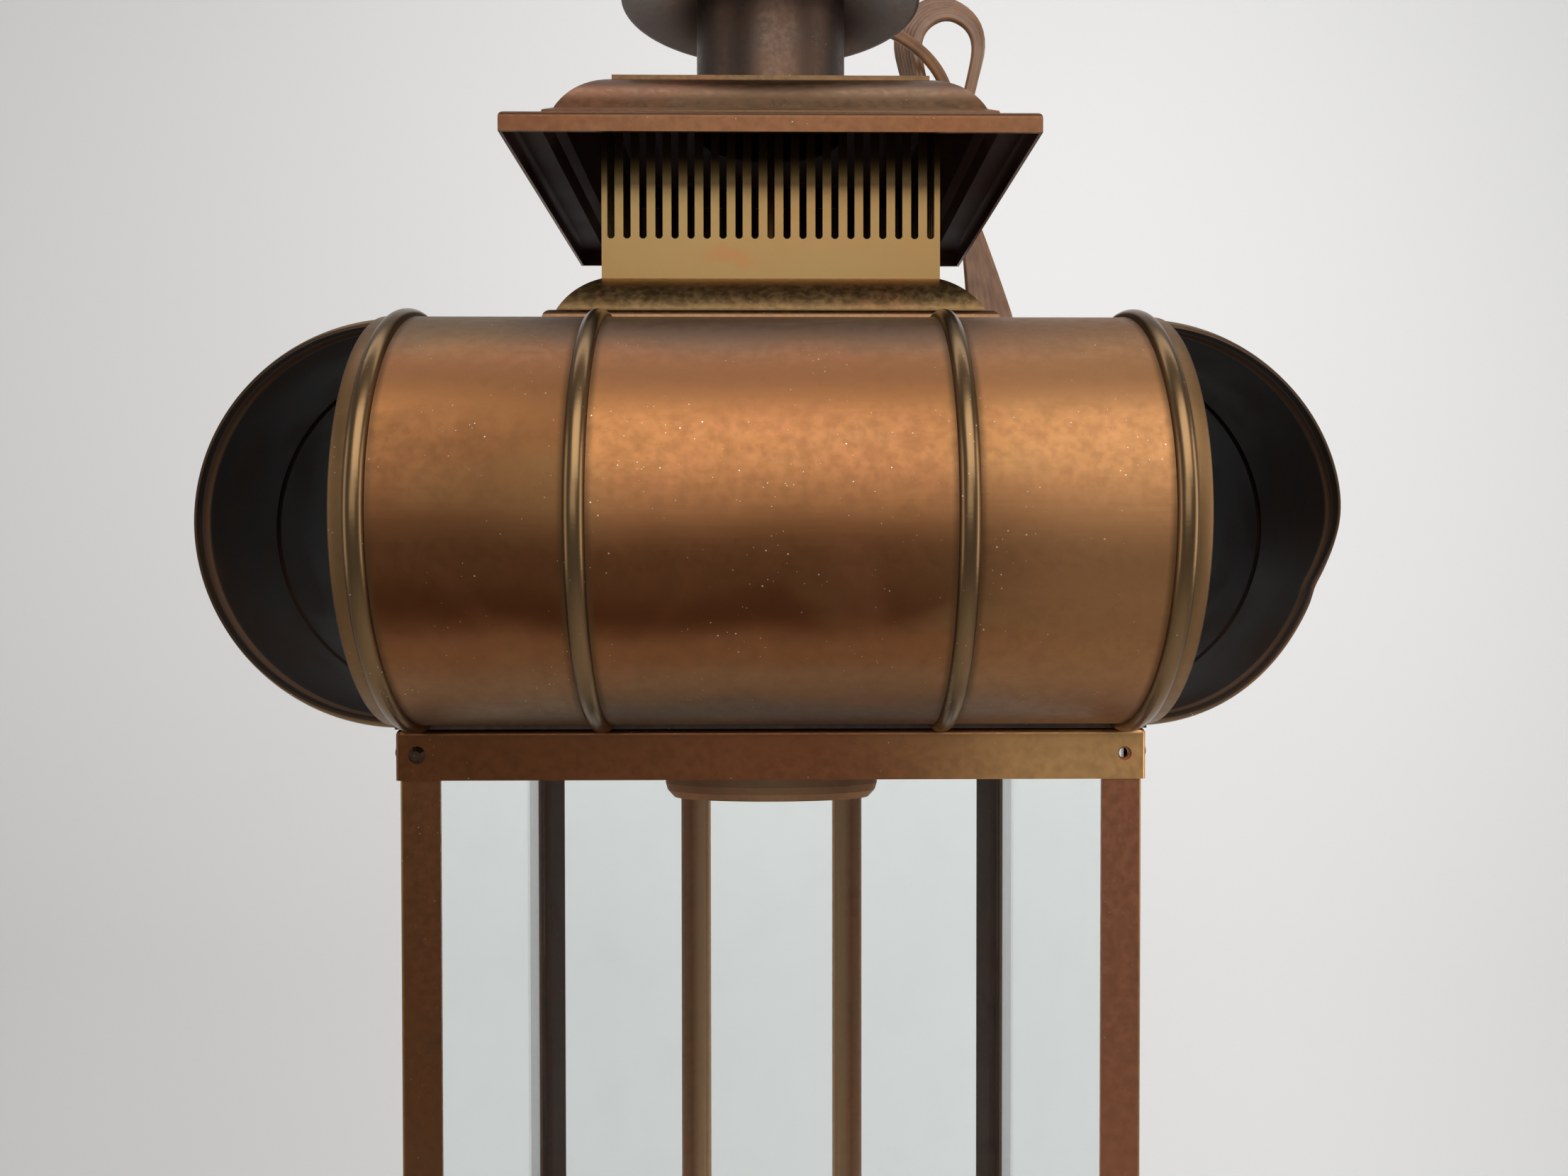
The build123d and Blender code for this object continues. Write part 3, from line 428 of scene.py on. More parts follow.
# Materials
class Shader:
    """Small helper that adds nodes to one material and links their sockets."""

    def __init__(self, name):
        self.material = bpy.data.materials.new(name)
        self.material.use_nodes = True
        self.tree = self.material.node_tree
        self.bsdf = self.tree.nodes["Principled BSDF"]
        self.coords = self.add("TexCoord").outputs["Object"]

    def add(self, kind):
        return self.tree.nodes.new(f"ShaderNode{kind}")

    def link(self, value, socket):
        if isinstance(value, bpy.types.NodeSocket):
            self.tree.links.new(value, socket)
        else:
            socket.default_value = value

    def math(self, operation, *values):
        node = self.add("Math")
        node.operation = operation
        for socket, value in zip(node.inputs, values):
            self.link(value, socket)
        return node.outputs[0]

    def times(self, a, b):
        return self.math("MULTIPLY", a, b)

    def plus(self, a, b):
        return self.math("ADD", a, b)

    def minus(self, a, b):
        return self.math("SUBTRACT", a, b)

    def size(self, a):
        return self.math("ABSOLUTE", a)

    def diagonal(self, a, b):
        return self.math("SQRT", self.plus(self.times(a, a), self.times(b, b)))

    def split(self, vector):
        node = self.add("SeparateXYZ")
        self.link(vector, node.inputs[0])
        return node.outputs

    def turned(self, vector, degrees):
        node = self.add("VectorRotate")
        node.rotation_type = "Z_AXIS"
        self.link(vector, node.inputs["Vector"])
        node.inputs["Angle"].default_value = radians(degrees)
        return node.outputs[0]

    def stretched(self, scale):
        node = self.add("Mapping")
        self.link(self.coords, node.inputs["Vector"])
        node.inputs["Scale"].default_value = scale
        return node.outputs[0]

    def noise(self, scale, detail=3.0, rough=0.55, coords=None, distortion=0.0):
        node = self.add("TexNoise")
        self.link(coords or self.coords, node.inputs["Vector"])
        node.inputs["Scale"].default_value = scale
        node.inputs["Detail"].default_value = detail
        node.inputs["Roughness"].default_value = rough
        node.inputs["Distortion"].default_value = distortion
        return node.outputs[0]

    def wander(self, noise, amount):
        """Noise around zero, as far as this amount from end to end."""
        return self.times(self.minus(noise, 0.5), amount)

    def specks(self, scale, size):
        node = self.add("TexVoronoi")
        self.link(self.coords, node.inputs["Vector"])
        node.inputs["Scale"].default_value = scale
        return self.ramp(node.outputs["Distance"], size, size * 0.6)

    def ramp(self, value, low, high):
        """0 where value is at low, 1 where it is at high, smooth between them."""
        node = self.add("MapRange")
        node.interpolation_type = "SMOOTHSTEP"
        flip = low > high
        self.link(value, node.inputs["Value"])
        node.inputs["From Min"].default_value = min(low, high)
        node.inputs["From Max"].default_value = max(low, high)
        node.inputs["To Min"].default_value = 1.0 if flip else 0.0
        node.inputs["To Max"].default_value = 0.0 if flip else 1.0
        return node.outputs["Result"]

    def bands(self, value, stops):
        node = self.add("ValToRGB")
        node.color_ramp.interpolation = "EASE"
        stones = node.color_ramp.elements
        while len(stones) < len(stops):
            stones.new(0.5)
        for stone, (place, colour) in zip(stones, stops):
            stone.position = place
            stone.color = (*colour, 1.0)
        self.link(value, node.inputs[0])
        return node.outputs[0]

    def mix(self, factor, a, b):
        """Colour a where the factor is 0, colour b where it is 1."""
        node = self.add("Mix")
        node.data_type = "RGBA"
        self.link(factor, node.inputs[0])
        for socket, value in ((node.inputs[6], a), (node.inputs[7], b)):
            self.link((*value, 1.0) if isinstance(value, tuple) else value, socket)
        return node.outputs[2]

    def tint(self, colour, mask, amount, tone):
        """Colour that takes on this much of the tone where the mask is 1."""
        return self.mix(self.times(mask, amount), colour, tone)

    def between(self, factor, a, b):
        node = self.add("Mix")
        self.link(factor, node.inputs[0])
        self.link(a, node.inputs[2])
        self.link(b, node.inputs[3])
        return node.outputs[0]

    def bump(self, height, strength, distance):
        node = self.add("Bump")
        self.link(height, node.inputs["Height"])
        node.inputs["Strength"].default_value = strength
        node.inputs["Distance"].default_value = distance
        self.tree.links.new(node.outputs[0], self.bsdf.inputs["Normal"])

    def done(self, colour, rough, metal):
        self.link(colour, self.bsdf.inputs["Base Color"])
        self.link(rough, self.bsdf.inputs["Roughness"])
        self.link(metal, self.bsdf.inputs["Metallic"])
        return self.material


DUST = (0.75, 0.68, 0.52)


def patina(shader, tones, scale, cloud):
    """Aged brass: broad clouds of warm and dark tone, and a fine mottling."""
    base, warm, dark = tones
    broad = shader.ramp(shader.noise(scale, 3.0, 0.5, distortion=0.6), 0.40, 0.64)
    deep = shader.ramp(shader.noise(scale * 1.7, 4.0, 0.6, distortion=0.3), 0.56, 0.78)
    fine = shader.ramp(shader.noise(scale * 16, 4.0, 0.65), 0.30, 0.72)
    colour = shader.mix(broad, base, warm)
    colour = shader.tint(colour, deep, 0.55 * cloud, dark)
    return shader.tint(colour, fine, 0.16 * cloud, dark), fine


def dusty(shader, colour, amount):
    """Scattered pale specks of dust."""
    small = shader.math("MAXIMUM", shader.specks(240, 0.07), shader.specks(430, 0.07))
    few = shader.ramp(shader.noise(60, 2.0), 0.46, 0.58)
    return shader.tint(colour, shader.times(small, few), amount, DUST)


# Hood patina and painted reflections, in bands from the barrel's foot (0) to its crown (1): the bright
# belt is a painted reflection of a light, the dark belt a painted reflection of a dark room
FOOT_GREY = (0.150, 0.092, 0.060)
FOOT_TAN = (0.268, 0.134, 0.061)
LOW_AMBER = (0.218, 0.087, 0.033)
DARK_REFLECTION_BELT = (0.088, 0.027, 0.009)
BELT_EDGE = (0.145, 0.055, 0.020)
WAIST_AMBER = (0.235, 0.101, 0.038)
HIGH_AMBER = (0.275, 0.119, 0.043)
BRIGHT_REFLECTION_BELT = (0.330, 0.141, 0.051)
SHOULDER = (0.310, 0.133, 0.056)
CROWN_GREY = (0.200, 0.120, 0.075)
CROWN_DARK = (0.130, 0.075, 0.042)
HOOD_PATINA_AND_REFLECTION_BANDS = [
    (0.02, FOOT_GREY),
    (0.11, FOOT_TAN),
    (0.20, LOW_AMBER),
    (0.30, DARK_REFLECTION_BELT),
    (0.40, BELT_EDGE),
    (0.52, WAIST_AMBER),
    (0.64, HIGH_AMBER),
    (0.72, BRIGHT_REFLECTION_BELT),
    (0.82, SHOULDER),
    (0.92, CROWN_GREY),
    (0.98, CROWN_DARK),
]

# Marks on the hoods
COPPER_CLOUD = (0.330, 0.130, 0.060)
GOLD_CLOUD = (0.290, 0.175, 0.068)
WORN_AND_LIT_TONE = (0.325, 0.160, 0.066)
STAIN_AND_SHADE_TONE = (0.100, 0.040, 0.016)
RUBBED_AND_LIT_TONE = (0.420, 0.200, 0.084)
MOTTLE_TONE = (0.120, 0.060, 0.028)
CREASE_TONE = (0.095, 0.050, 0.022)
END_STRIP_TONE = (0.200, 0.116, 0.050)
BEAD_TONE = (0.165, 0.102, 0.048)
CUT_EDGE_TONE = (0.050, 0.030, 0.020)
INSIDE_BLACK = (0.012, 0.006, 0.004)
INSIDE_BROWN = (0.038, 0.018, 0.009)
END_HOLLOW_HIGHLIGHT = (0.095, 0.050, 0.028)
CAP_UNDER_DARK = (0.040, 0.022, 0.020)
CAP_UNDER_PALE = (0.060, 0.034, 0.030)


def hood_along(shader, x):
    """Distance from the hood's middle along it, and from its end beads, in millimetres."""
    along = shader.times(shader.size(x), 1 / MM)
    return along, shader.size(shader.minus(along, BEAD_END))


def hood_brass(angle):
    """Banded patina and painted reflections of a hood, with clouds, stains and painted shade, painted
    light from the right, dark creases beside the beads and paler beads.
    """
    shader = Shader(f"hood_brass_{angle}")
    x, y, z = shader.split(shader.turned(shader.coords, -angle))
    out = shader.times(shader.plus(y, BODY_HALF * MM), -1.0)
    up = shader.minus(z, Z_HOOD * MM)
    reach = shader.times(shader.diagonal(out, up), 1 / MM)
    height = shader.math("DIVIDE", up, HOOD_R * MM)

    drift = shader.noise(13.0, 4.0, 0.55, coords=shader.stretched((0.7, 0.7, 1.2)), distortion=0.4)
    wander = shader.wander(drift, 0.22)
    level = shader.plus(shader.times(height, 0.5), shader.plus(wander, 0.5))
    # The bands are patina and painted reflections together.
    colour = shader.bands(level, HOOD_PATINA_AND_REFLECTION_BANDS)
    copper = shader.ramp(shader.noise(13.0, 3.0, 0.55, distortion=0.8), 0.53, 0.70)
    colour = shader.tint(colour, copper, 0.28, COPPER_CLOUD)
    gold = shader.ramp(shader.noise(21.0, 2.0, 0.5, coords=shader.stretched((0.8, 0.8, 1.5))), 0.54, 0.72)
    colour = shader.tint(colour, gold, 0.30, GOLD_CLOUD)
    # Wear and painted light from the right: the hood is lighter towards its right end.
    rightward = shader.ramp(shader.plus(x, shader.times(wander, 0.2)), 0.02, 0.11)
    colour = shader.tint(colour, rightward, 0.70, WORN_AND_LIT_TONE)
    # Stain and painted shade: darker on the left, in the middle bands.
    stain = shader.times(shader.ramp(level, 0.74, 0.60), shader.ramp(level, 0.34, 0.46))
    stain = shader.times(stain, shader.ramp(x, -0.050, -0.085))
    colour = shader.tint(colour, stain, 0.62, STAIN_AND_SHADE_TONE)
    # Rubbed brass and painted light from the right, in the lower middle bands.
    rubbed_and_lit = shader.times(shader.ramp(level, 0.24, 0.34), shader.ramp(level, 0.64, 0.46))
    rubbed_and_lit = shader.times(rubbed_and_lit, shader.ramp(x, 0.050, 0.085))
    colour = shader.tint(colour, rubbed_and_lit, 0.45, RUBBED_AND_LIT_TONE)
    fine = shader.ramp(shader.noise(260.0, 4.0, 0.65), 0.30, 0.72)
    colour = shader.tint(colour, fine, 0.10, MOTTLE_TONE)

    along, near_end = hood_along(shader, x)
    near_middle = shader.size(shader.minus(along, BEAD_MIDDLE))
    near = shader.math("MINIMUM", near_end, near_middle)
    crease = shader.times(shader.ramp(near, 2.3, 3.1), shader.ramp(near, 5.5, 3.2))
    colour = shader.tint(colour, crease, 0.75, CREASE_TONE)
    strip = shader.ramp(along, BEAD_END + 2.2, BEAD_END + 3.2)
    colour = shader.tint(colour, strip, 0.75, END_STRIP_TONE)
    bead = shader.ramp(reach, HOOD_R + 0.5, HOOD_R + 1.9)
    colour = shader.tint(colour, bead, 0.90, BEAD_TONE)
    colour = dusty(shader, colour, 0.75)
    cut_edge = shader.ramp(along, HOOD_HALF - 0.4, HOOD_HALF - 0.15)
    colour = shader.tint(colour, cut_edge, 0.9, CUT_EDGE_TONE)

    rough = shader.between(fine, 0.42, 0.52)
    rough = shader.between(bead, rough, 0.28)
    grain = shader.noise(700.0, 2.0, 0.5, coords=shader.stretched((0.05, 0.05, 1.0)))
    shader.bump(shader.plus(grain, shader.times(shader.noise(90.0, 4.0), 0.2)), 0.06, 0.0004)
    return shader.done(colour, rough, 1.0)


def hood_dark_inside(angle):
    """Dark inside of a hood, with a painted highlight in the hollow behind the end bead."""
    shader = Shader(f"hood_dark_inside_{angle}")
    x = shader.split(shader.turned(shader.coords, -angle))[0]
    near_end = hood_along(shader, x)[1]
    cloud = shader.ramp(shader.noise(30.0, 3.0), 0.4, 0.7)
    colour = shader.mix(cloud, INSIDE_BLACK, INSIDE_BROWN)
    # Painted highlight where the hollow behind the end bead catches the light.
    colour = shader.mix(shader.ramp(near_end, 4.0, 2.4), colour, END_HOLLOW_HIGHLIGHT)
    shader.bsdf.inputs["Specular IOR Level"].default_value = 0.06
    return shader.done(colour, shader.between(cloud, 0.5, 0.6), 0.0)


def cap_dark_underside():
    """Dark underside of the vent cap."""
    shader = Shader("cap_dark_underside")
    cloud = shader.ramp(shader.noise(26.0, 4.0, 0.6), 0.35, 0.7)
    colour = shader.mix(cloud, CAP_UNDER_DARK, CAP_UNDER_PALE)
    shader.bsdf.inputs["Specular IOR Level"].default_value = 0.03
    return shader.done(colour, shader.between(cloud, 0.42, 0.55), 0.0)


def aged_brass(
    name, tones, rough=(0.32, 0.48), scale=22.0, marks=None, dust=0.4, cloud=0.6, metal=1.0, relief=0.10
):
    """Patinated sheet in tones of (base, warm, dark), with the marks of one piece added where given."""
    shader = Shader(name)
    colour, fine = patina(shader, tones, scale, cloud)
    if marks:
        colour = marks(shader, colour)
    if dust:
        colour = dusty(shader, colour, dust)
    grain = shader.noise(600.0, 2.0, 0.5, coords=shader.stretched((1.0, 1.0, 0.08)))
    shader.bump(shader.plus(grain, shader.noise(80.0, 3.0)), relief, 0.0004)
    return shader.done(colour, shader.between(fine, *rough), metal)


# Places of the marks, in metres
GRILLE_STAIN_X, GRILLE_STAIN_Z = -0.016, -0.1766
GRILLE_STAIN_HALF, GRILLE_STAIN_RISE = 0.012, 0.0045
GRILLE_DARK_FOOT, GRILLE_DARK_TOP = -0.140, -0.112
COLLAR_STEP_TOP, COLLAR_STEP_FOOT = -0.1985, -0.2005
LIP_INSIDE, LIP_OUTSIDE = 0.0945, 0.0968
TRAY_SHADE_FOOT, TRAY_SHADE_TOP = -0.354, -0.3497
POST_EDGE_INSIDE, POST_EDGE_OUTSIDE = 0.1236, 0.1249

# Tones of the marks
GRILLE_COPPER = (0.230, 0.086, 0.036)
GRILLE_TOP_DARK = (0.07, 0.052, 0.028)
COLLAR_STEP_SHADE = (0.085, 0.035, 0.021)
LIP_COPPER = (0.092, 0.037, 0.017)
SKIRT_BROWN = (0.115, 0.040, 0.014)
SKIRT_COPPER = (0.230, 0.080, 0.033)
SKIRT_BRASS = (0.800, 0.440, 0.170)
TRAY_TOP_SHADE = (0.09, 0.05, 0.025)
POST_STREAK = (0.15, 0.065, 0.028)
POST_RED = (0.42, 0.165, 0.085)
POST_EDGE = (0.50, 0.34, 0.15)
STEM_LIT_FLANK = (0.560, 0.345, 0.180)


def grille_marks(shader, colour):
    """Coppery stain at the foot of the front grille, and a darker top under the cap."""
    x, _, z = shader.split(shader.coords)
    wander = shader.wander(shader.noise(90.0, 4.0), 0.02)
    across = shader.plus(shader.minus(x, GRILLE_STAIN_X), wander)
    up = shader.plus(shader.minus(z, GRILLE_STAIN_Z), wander)
    across = shader.math("DIVIDE", across, GRILLE_STAIN_HALF)
    up = shader.math("DIVIDE", up, GRILLE_STAIN_RISE)
    stain = shader.ramp(shader.diagonal(across, up), 1.3, 0.3)
    colour = shader.tint(colour, stain, 0.45, GRILLE_COPPER)
    darker_top = shader.ramp(z, GRILLE_DARK_FOOT, GRILLE_DARK_TOP)
    return shader.tint(colour, darker_top, 0.6, GRILLE_TOP_DARK)


def collar_marks(shader, colour):
    """Painted shade in coppery brown along the step at the collar's foot."""
    step = shader.ramp(shader.split(shader.coords)[2], COLLAR_STEP_TOP, COLLAR_STEP_FOOT)
    return shader.tint(colour, step, 0.8, COLLAR_STEP_SHADE)


def cap_marks(shader, colour):
    """Worn coppery tone along the lip."""
    x, y, _ = shader.split(shader.coords)
    half = shader.math("MAXIMUM", shader.size(x), shader.size(y))
    return shader.tint(colour, shader.ramp(half, LIP_INSIDE, LIP_OUTSIDE), 0.8, LIP_COPPER)


def tray_marks(shader, colour):
    """Skirt that goes from dark brown at the left to clear brass at the right, with painted shade along
    the tray's top under the hoods.
    """
    x, _, z = shader.split(shader.coords)
    wander = shader.wander(shader.noise(14.0, 3.0), 0.08)
    share = shader.math("MULTIPLY_ADD", shader.plus(x, wander), 4.0, 0.5)
    rightward = shader.bands(share, [(0.1, SKIRT_BROWN), (0.55, SKIRT_COPPER), (0.95, SKIRT_BRASS)])
    colour = shader.mix(0.75, colour, rightward)
    # Painted shade in the gap under the hoods, at the tray's top.
    return shader.tint(colour, shader.ramp(z, TRAY_SHADE_FOOT, TRAY_SHADE_TOP), 0.5, TRAY_TOP_SHADE)


def post_marks(shader, colour):
    """Streaks along the post, a redder tone on the right-hand ones, and a clear outer edge."""
    x = shader.split(shader.coords)[0]
    along = shader.stretched((14.0, 14.0, 1.0))
    streak = shader.ramp(shader.noise(9.0, 4.0, 0.6, coords=along), 0.42, 0.66)
    colour = shader.tint(colour, streak, 0.4, POST_STREAK)
    colour = shader.tint(colour, shader.ramp(x, 0.0, 0.02), 0.8, POST_RED)
    edge = shader.ramp(shader.size(x), POST_EDGE_INSIDE, POST_EDGE_OUTSIDE)
    return shader.tint(colour, edge, 0.6, POST_EDGE)


def stem_marks(shader, colour):
    """Painted highlight: lighter brass on the flanks that face the middle of the lantern."""
    x = shader.split(shader.coords)[0]
    normal = shader.add("NewGeometry").outputs["Normal"]
    outward = shader.times(shader.split(normal)[0], shader.math("SIGN", x))
    return shader.tint(colour, shader.ramp(outward, 0.25, -0.65), 0.7, STEM_LIT_FLANK)


def clear_glass(name, tint, ior):
    """Clear glass with faint smears."""
    shader = Shader(name)
    smear = shader.noise(40.0, 3.0, 0.6)
    shader.bsdf.inputs["Transmission Weight"].default_value = 1.0
    shader.bsdf.inputs["IOR"].default_value = ior
    shader.bump(shader.noise(6.0, 1.0), 0.02, 0.0004)
    colour = shader.mix(shader.ramp(smear, 0.45, 0.75), tint, tuple(c * 0.985 for c in tint))
    return shader.done(colour, shader.between(shader.ramp(smear, 0.5, 0.8), 0.0, 0.03), 0.0)


def plain_plastic(name, light, dark, rough):
    """Moulded plastic or wax with a slight mottling."""
    shader = Shader(name)
    tone = shader.ramp(shader.noise(120.0, 3.0), 0.35, 0.7)
    shader.bump(shader.noise(960.0, 2.0), 0.08, 0.0002)
    return shader.done(shader.mix(tone, light, dark), shader.between(tone, rough, rough + 0.1), 0.0)


def cord_plastic():
    """Brown sheath of the cord."""
    shader = Shader("cord_brown_plastic")
    tone = shader.ramp(shader.noise(70.0, 3.0), 0.35, 0.7)
    colour = shader.mix(tone, CORD_LIGHT, CORD_DARK)
    shader.bump(shader.noise(500.0, 2.0), 0.06, 0.0002)
    shader.bsdf.inputs["Specular IOR Level"].default_value = 0.4
    return shader.done(colour, shader.between(tone, 0.30, 0.42), 0.0)


# Tones of the brass as (base, warm, dark)
OLIVE_DARK = (0.110, 0.072, 0.032)
BROWN_DARK = (0.080, 0.036, 0.017)
OLIVE = ((0.190, 0.122, 0.048), (0.200, 0.114, 0.044), OLIVE_DARK)
CAP_TONES = ((0.180, 0.098, 0.049), (0.200, 0.085, 0.040), BROWN_DARK)
# Painted light: the collar's tones are lighter than the grille's to make up for the shade under the
# grille.
COLLAR_LIT_TONES = ((0.430, 0.265, 0.112), (0.450, 0.235, 0.104), OLIVE_DARK)
SMOKE = ((0.082, 0.057, 0.044), (0.094, 0.055, 0.037), (0.036, 0.025, 0.018))
DARK_CORE_TONES = ((0.066, 0.050, 0.042), (0.090, 0.060, 0.042), (0.026, 0.020, 0.017))
TRAY_TONES = ((0.220, 0.095, 0.040), (0.250, 0.095, 0.038), BROWN_DARK)
POST_TONES = ((0.175, 0.075, 0.031), (0.190, 0.070, 0.028), BROWN_DARK)
BACK_POST_TONES = ((0.200, 0.105, 0.060), (0.215, 0.095, 0.052), BROWN_DARK)
STEM_TONES = ((0.262, 0.124, 0.058), (0.290, 0.120, 0.054), BROWN_DARK)
DISH_TONES = ((0.090, 0.066, 0.055), (0.110, 0.072, 0.052), (0.036, 0.027, 0.023))
SCREW_TONES = ((0.060, 0.038, 0.024), (0.075, 0.040, 0.024), (0.025, 0.017, 0.012))
FOOT_TONES = ((0.100, 0.060, 0.029), (0.115, 0.056, 0.027), BROWN_DARK)
BULB_CAP_TONES = ((0.72, 0.58, 0.30), (0.70, 0.50, 0.24), OLIVE_DARK)
WIRE_TONES = ((0.80, 0.42, 0.24), (0.78, 0.36, 0.2), BROWN_DARK)

# Tones of the other pieces
CORD_LIGHT, CORD_DARK = (0.215, 0.100, 0.042), (0.145, 0.064, 0.027)
WAX_LIGHT, WAX_DARK = (0.83, 0.76, 0.60), (0.74, 0.65, 0.48)
SOCKET_LIGHT, SOCKET_DARK = (0.030, 0.027, 0.025), (0.016, 0.014, 0.013)
TIE_LIGHT, TIE_DARK = (0.028, 0.024, 0.020), (0.016, 0.013, 0.012)
BUSHING_LIGHT, BUSHING_DARK = (0.022, 0.020, 0.019), (0.012, 0.011, 0.010)
PANE_TINT, PANE_IOR = (0.955, 0.982, 0.982), 1.2
BULB_TINT, BULB_IOR = (0.985, 0.985, 0.98), 1.46

grille = aged_brass(
    "grille_brass", OLIVE, (0.30, 0.32), 14.0, grille_marks, dust=0.0, cloud=0.18, relief=0.02
)
cap = aged_brass("cap_brass", CAP_TONES, (0.30, 0.42), 20.0, cap_marks, dust=0.25, cloud=0.25, relief=0.05)
collar = aged_brass("collar_brass", COLLAR_LIT_TONES, (0.28, 0.40), 22.0, collar_marks, cloud=0.3)
chimney = aged_brass("chimney_brass", SMOKE, (0.38, 0.5), dust=0.25, cloud=0.3, relief=0.05)
# Dark tone for the core walls, which lie inside the hoods.
dark_core = aged_brass("sooty_brass", DARK_CORE_TONES, (0.42, 0.6))
tray = aged_brass("tray_brass", TRAY_TONES, (0.30, 0.42), 18.0, tray_marks)
post = aged_brass("post_brass", POST_TONES, (0.30, 0.44), 16.0, post_marks)
back_post = aged_brass("back_post_brass", BACK_POST_TONES, (0.34, 0.48), metal=0.2)
stem = aged_brass("stem_brass", STEM_TONES, (0.30, 0.42), 26.0, stem_marks)
dish = aged_brass("dish_brass", DISH_TONES, (0.30, 0.40), dust=0.0, cloud=0.2, relief=0.02)
screw = aged_brass("screw_brass", SCREW_TONES, (0.40, 0.5), 120.0)
foot = aged_brass("foot_brass", FOOT_TONES, (0.34, 0.46))
pane = clear_glass("pane_glass", PANE_TINT, PANE_IOR)
bulb_glass = clear_glass("bulb_glass", BULB_TINT, BULB_IOR)

by_node = {
    "vent_cap": cap,
    "chimney_foot": foot,
    "gallery_collar": collar,
    "roof_deck": collar,
    "chimney_tube": chimney,
    "hanging_loop": chimney,
    "roof_tray": tray,
    "base_tray": tray,
    "hatch_frame": tray,
    "hinge_leaves_base": stem,
    "hinge_leaves_hatch": stem,
    "hinge_pins": screw,
    "hatch_knob": grille,
    "turn_button": grille,
    "button_screw": screw,
    "roof_screws": screw,
    "base_screws": screw,
    "centre_pipe": stem,
    "pipe_nuts": screw,
    "lamp_bar": stem,
    "stem_left": stem,
    "stem_right": stem,
    "lamp_pan": stem,
    "candle_cups": grille,
    "candle_sleeves": plain_plastic("candle_ivory_wax", WAX_LIGHT, WAX_DARK, 0.45),
    "lamp_sockets": plain_plastic("socket_phenolic", SOCKET_LIGHT, SOCKET_DARK, 0.4),
    "bulb_caps": aged_brass("bulb_cap_metal", BULB_CAP_TONES, (0.2, 0.3), 90.0),
    "cord_tie": plain_plastic("tie_plastic", TIE_LIGHT, TIE_DARK, 0.45),
    "cord_bushing": plain_plastic("bushing_plastic", BUSHING_LIGHT, BUSHING_DARK, 0.42),
    "cord_bare_ends": aged_brass("wire_copper_strand", WIRE_TONES, (0.2, 0.3), 400.0),
}
for side, angle in SIDES.items():
    hoods[side].data.materials.append(hood_brass(angle))
    hoods[side].data.materials.append(hood_dark_inside(angle))
    by_node[f"vent_grille_{side}"] = grille
    by_node[f"core_wall_{side}"] = dark_core
for name in nodes:
    if name.startswith("post_"):
        by_node[name] = back_post if name.startswith("post_back") else post
for name, material in by_node.items():
    data = nodes[name].data
    data.materials.clear()
    data.materials.append(material)
flat_cord.data.materials.append(cord_plastic())
rain_skin.data.materials.append(dish)
bulbs.data.materials.append(bulb_glass)
for sheet in panes:
    sheet.data.materials.append(pane)

# The vent cap is darker on the faces that look down or inwards, apart from its lip
CAP_DOWNWARD = -0.25
CAP_INWARD = -0.001
CAP_LIP = 0.0962
under_cap = nodes["vent_cap"].data
under_cap.materials.append(cap_dark_underside())
for face in under_cap.polygons:
    spot, normal = face.center, face.normal
    inward = normal.z < CAP_DOWNWARD or normal.x * spot.x + normal.y * spot.y < CAP_INWARD
    face.material_index = int(inward and max(abs(spot.x), abs(spot.y)) < CAP_LIP)

# Stage: a pale wall and floor in one sweep, in metres
WALL_Y = 2.0
WALL_TOP = 2.8
FLOOR_Z = -1.6
FLOOR_FRONT = -2.4
STAGE_HALF = 4.2
STAGE_BEND = 0.5
BEND_STEPS = 12
WALL_LEFT, WALL_RIGHT = -1.5, 1.3
WALL_SHADED_GREY, WALL_LIT_PALE = (0.800, 0.782, 0.755), (0.960, 0.943, 0.915)


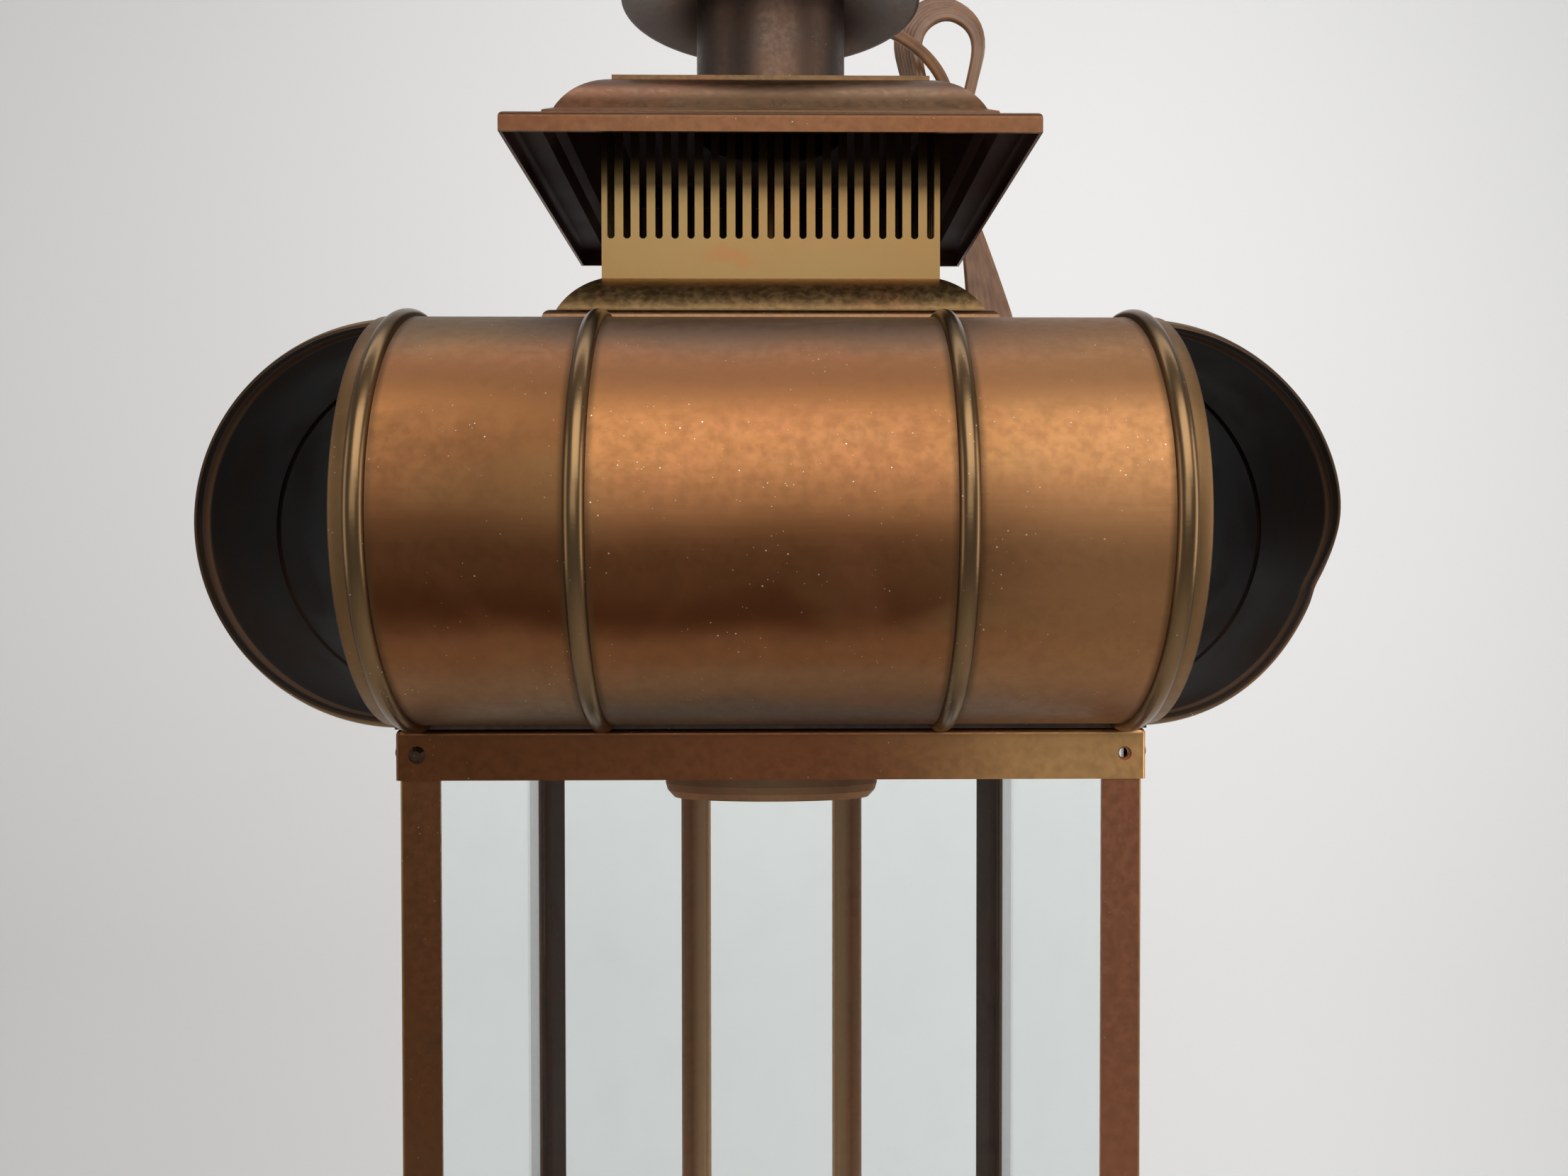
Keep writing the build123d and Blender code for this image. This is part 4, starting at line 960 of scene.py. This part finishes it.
def add_stage():
    section = [(FLOOR_FRONT, FLOOR_Z), (WALL_Y - STAGE_BEND, FLOOR_Z)]
    for step in range(1, BEND_STEPS):
        a = radians(90 * step / BEND_STEPS)
        section.append((WALL_Y - STAGE_BEND * (1 - sin(a)), FLOOR_Z + STAGE_BEND * (1 - cos(a))))
    section += [(WALL_Y, FLOOR_Z + STAGE_BEND), (WALL_Y, WALL_TOP)]
    mesh = bmesh.new()
    left, right = ([mesh.verts.new((x, y, z)) for y, z in section] for x in (-STAGE_HALF, STAGE_HALF))
    for k in range(len(section) - 1):
        mesh.faces.new((left[k], left[k + 1], right[k + 1], right[k]))
    sweep = finish_mesh(mesh, "backdrop")
    shader = Shader("backdrop_paint")
    # Painted light: the paint goes from grey at the left to paler at the right.
    cloud = shader.wander(shader.noise(0.8, 2.0), 1.3)
    across = shader.ramp(shader.plus(shader.split(shader.coords)[0], cloud), WALL_LEFT, WALL_RIGHT)
    shader.bump(shader.noise(300.0, 2.0), 0.03, 0.001)
    sweep.data.materials.append(shader.done(shader.mix(across, WALL_SHADED_GREY, WALL_LIT_PALE), 0.85, 0.0))


def add_light(name, place, aim, width, height, power):
    """Soft panel that faces the aim; it isn't seen through the glass."""
    data = bpy.data.lights.new(name, "AREA")
    data.shape = "RECTANGLE"
    data.size = width
    data.size_y = height
    data.energy = power
    lamp = bpy.data.objects.new(name, data)
    lamp.location = place
    lamp.rotation_euler = (Vector(aim) - Vector(place)).to_track_quat("-Z", "Y").to_euler()
    lamp.visible_transmission = False
    bpy.context.scene.collection.objects.link(lamp)


add_stage()
add_light("key", (0.25, -1.25, 0.70), aim=(0, -0.1, -0.25), width=1.6, height=1.1, power=18)
add_light("wall_wash", (0.3, 0.45, 0.25), aim=(0.3, 2.0, 0.25), width=7.0, height=2.6, power=18)
add_light("front", (-0.1, -1.7, -0.02), aim=(0, 0, -0.2), width=1.4, height=0.4, power=3.0)
add_light("top", (0.0, 0.25, 1.7), aim=(0, 1.05, -0.3), width=3.0, height=0.6, power=13)
add_light("left", (-1.7, -0.5, -0.1), aim=(0, 0, -0.3), width=0.8, height=1.4, power=5)
add_light("right", (1.7, -0.5, -0.1), aim=(0, 0, -0.3), width=0.8, height=1.4, power=9)

world = bpy.data.worlds.new("world")
bpy.context.scene.world = world
world.use_nodes = True
background = world.node_tree.nodes["Background"]
background.inputs["Color"].default_value = (0.86, 0.90, 0.96, 1.0)
background.inputs["Strength"].default_value = 0.30
bpy.context.scene.view_settings.view_transform = "Standard"
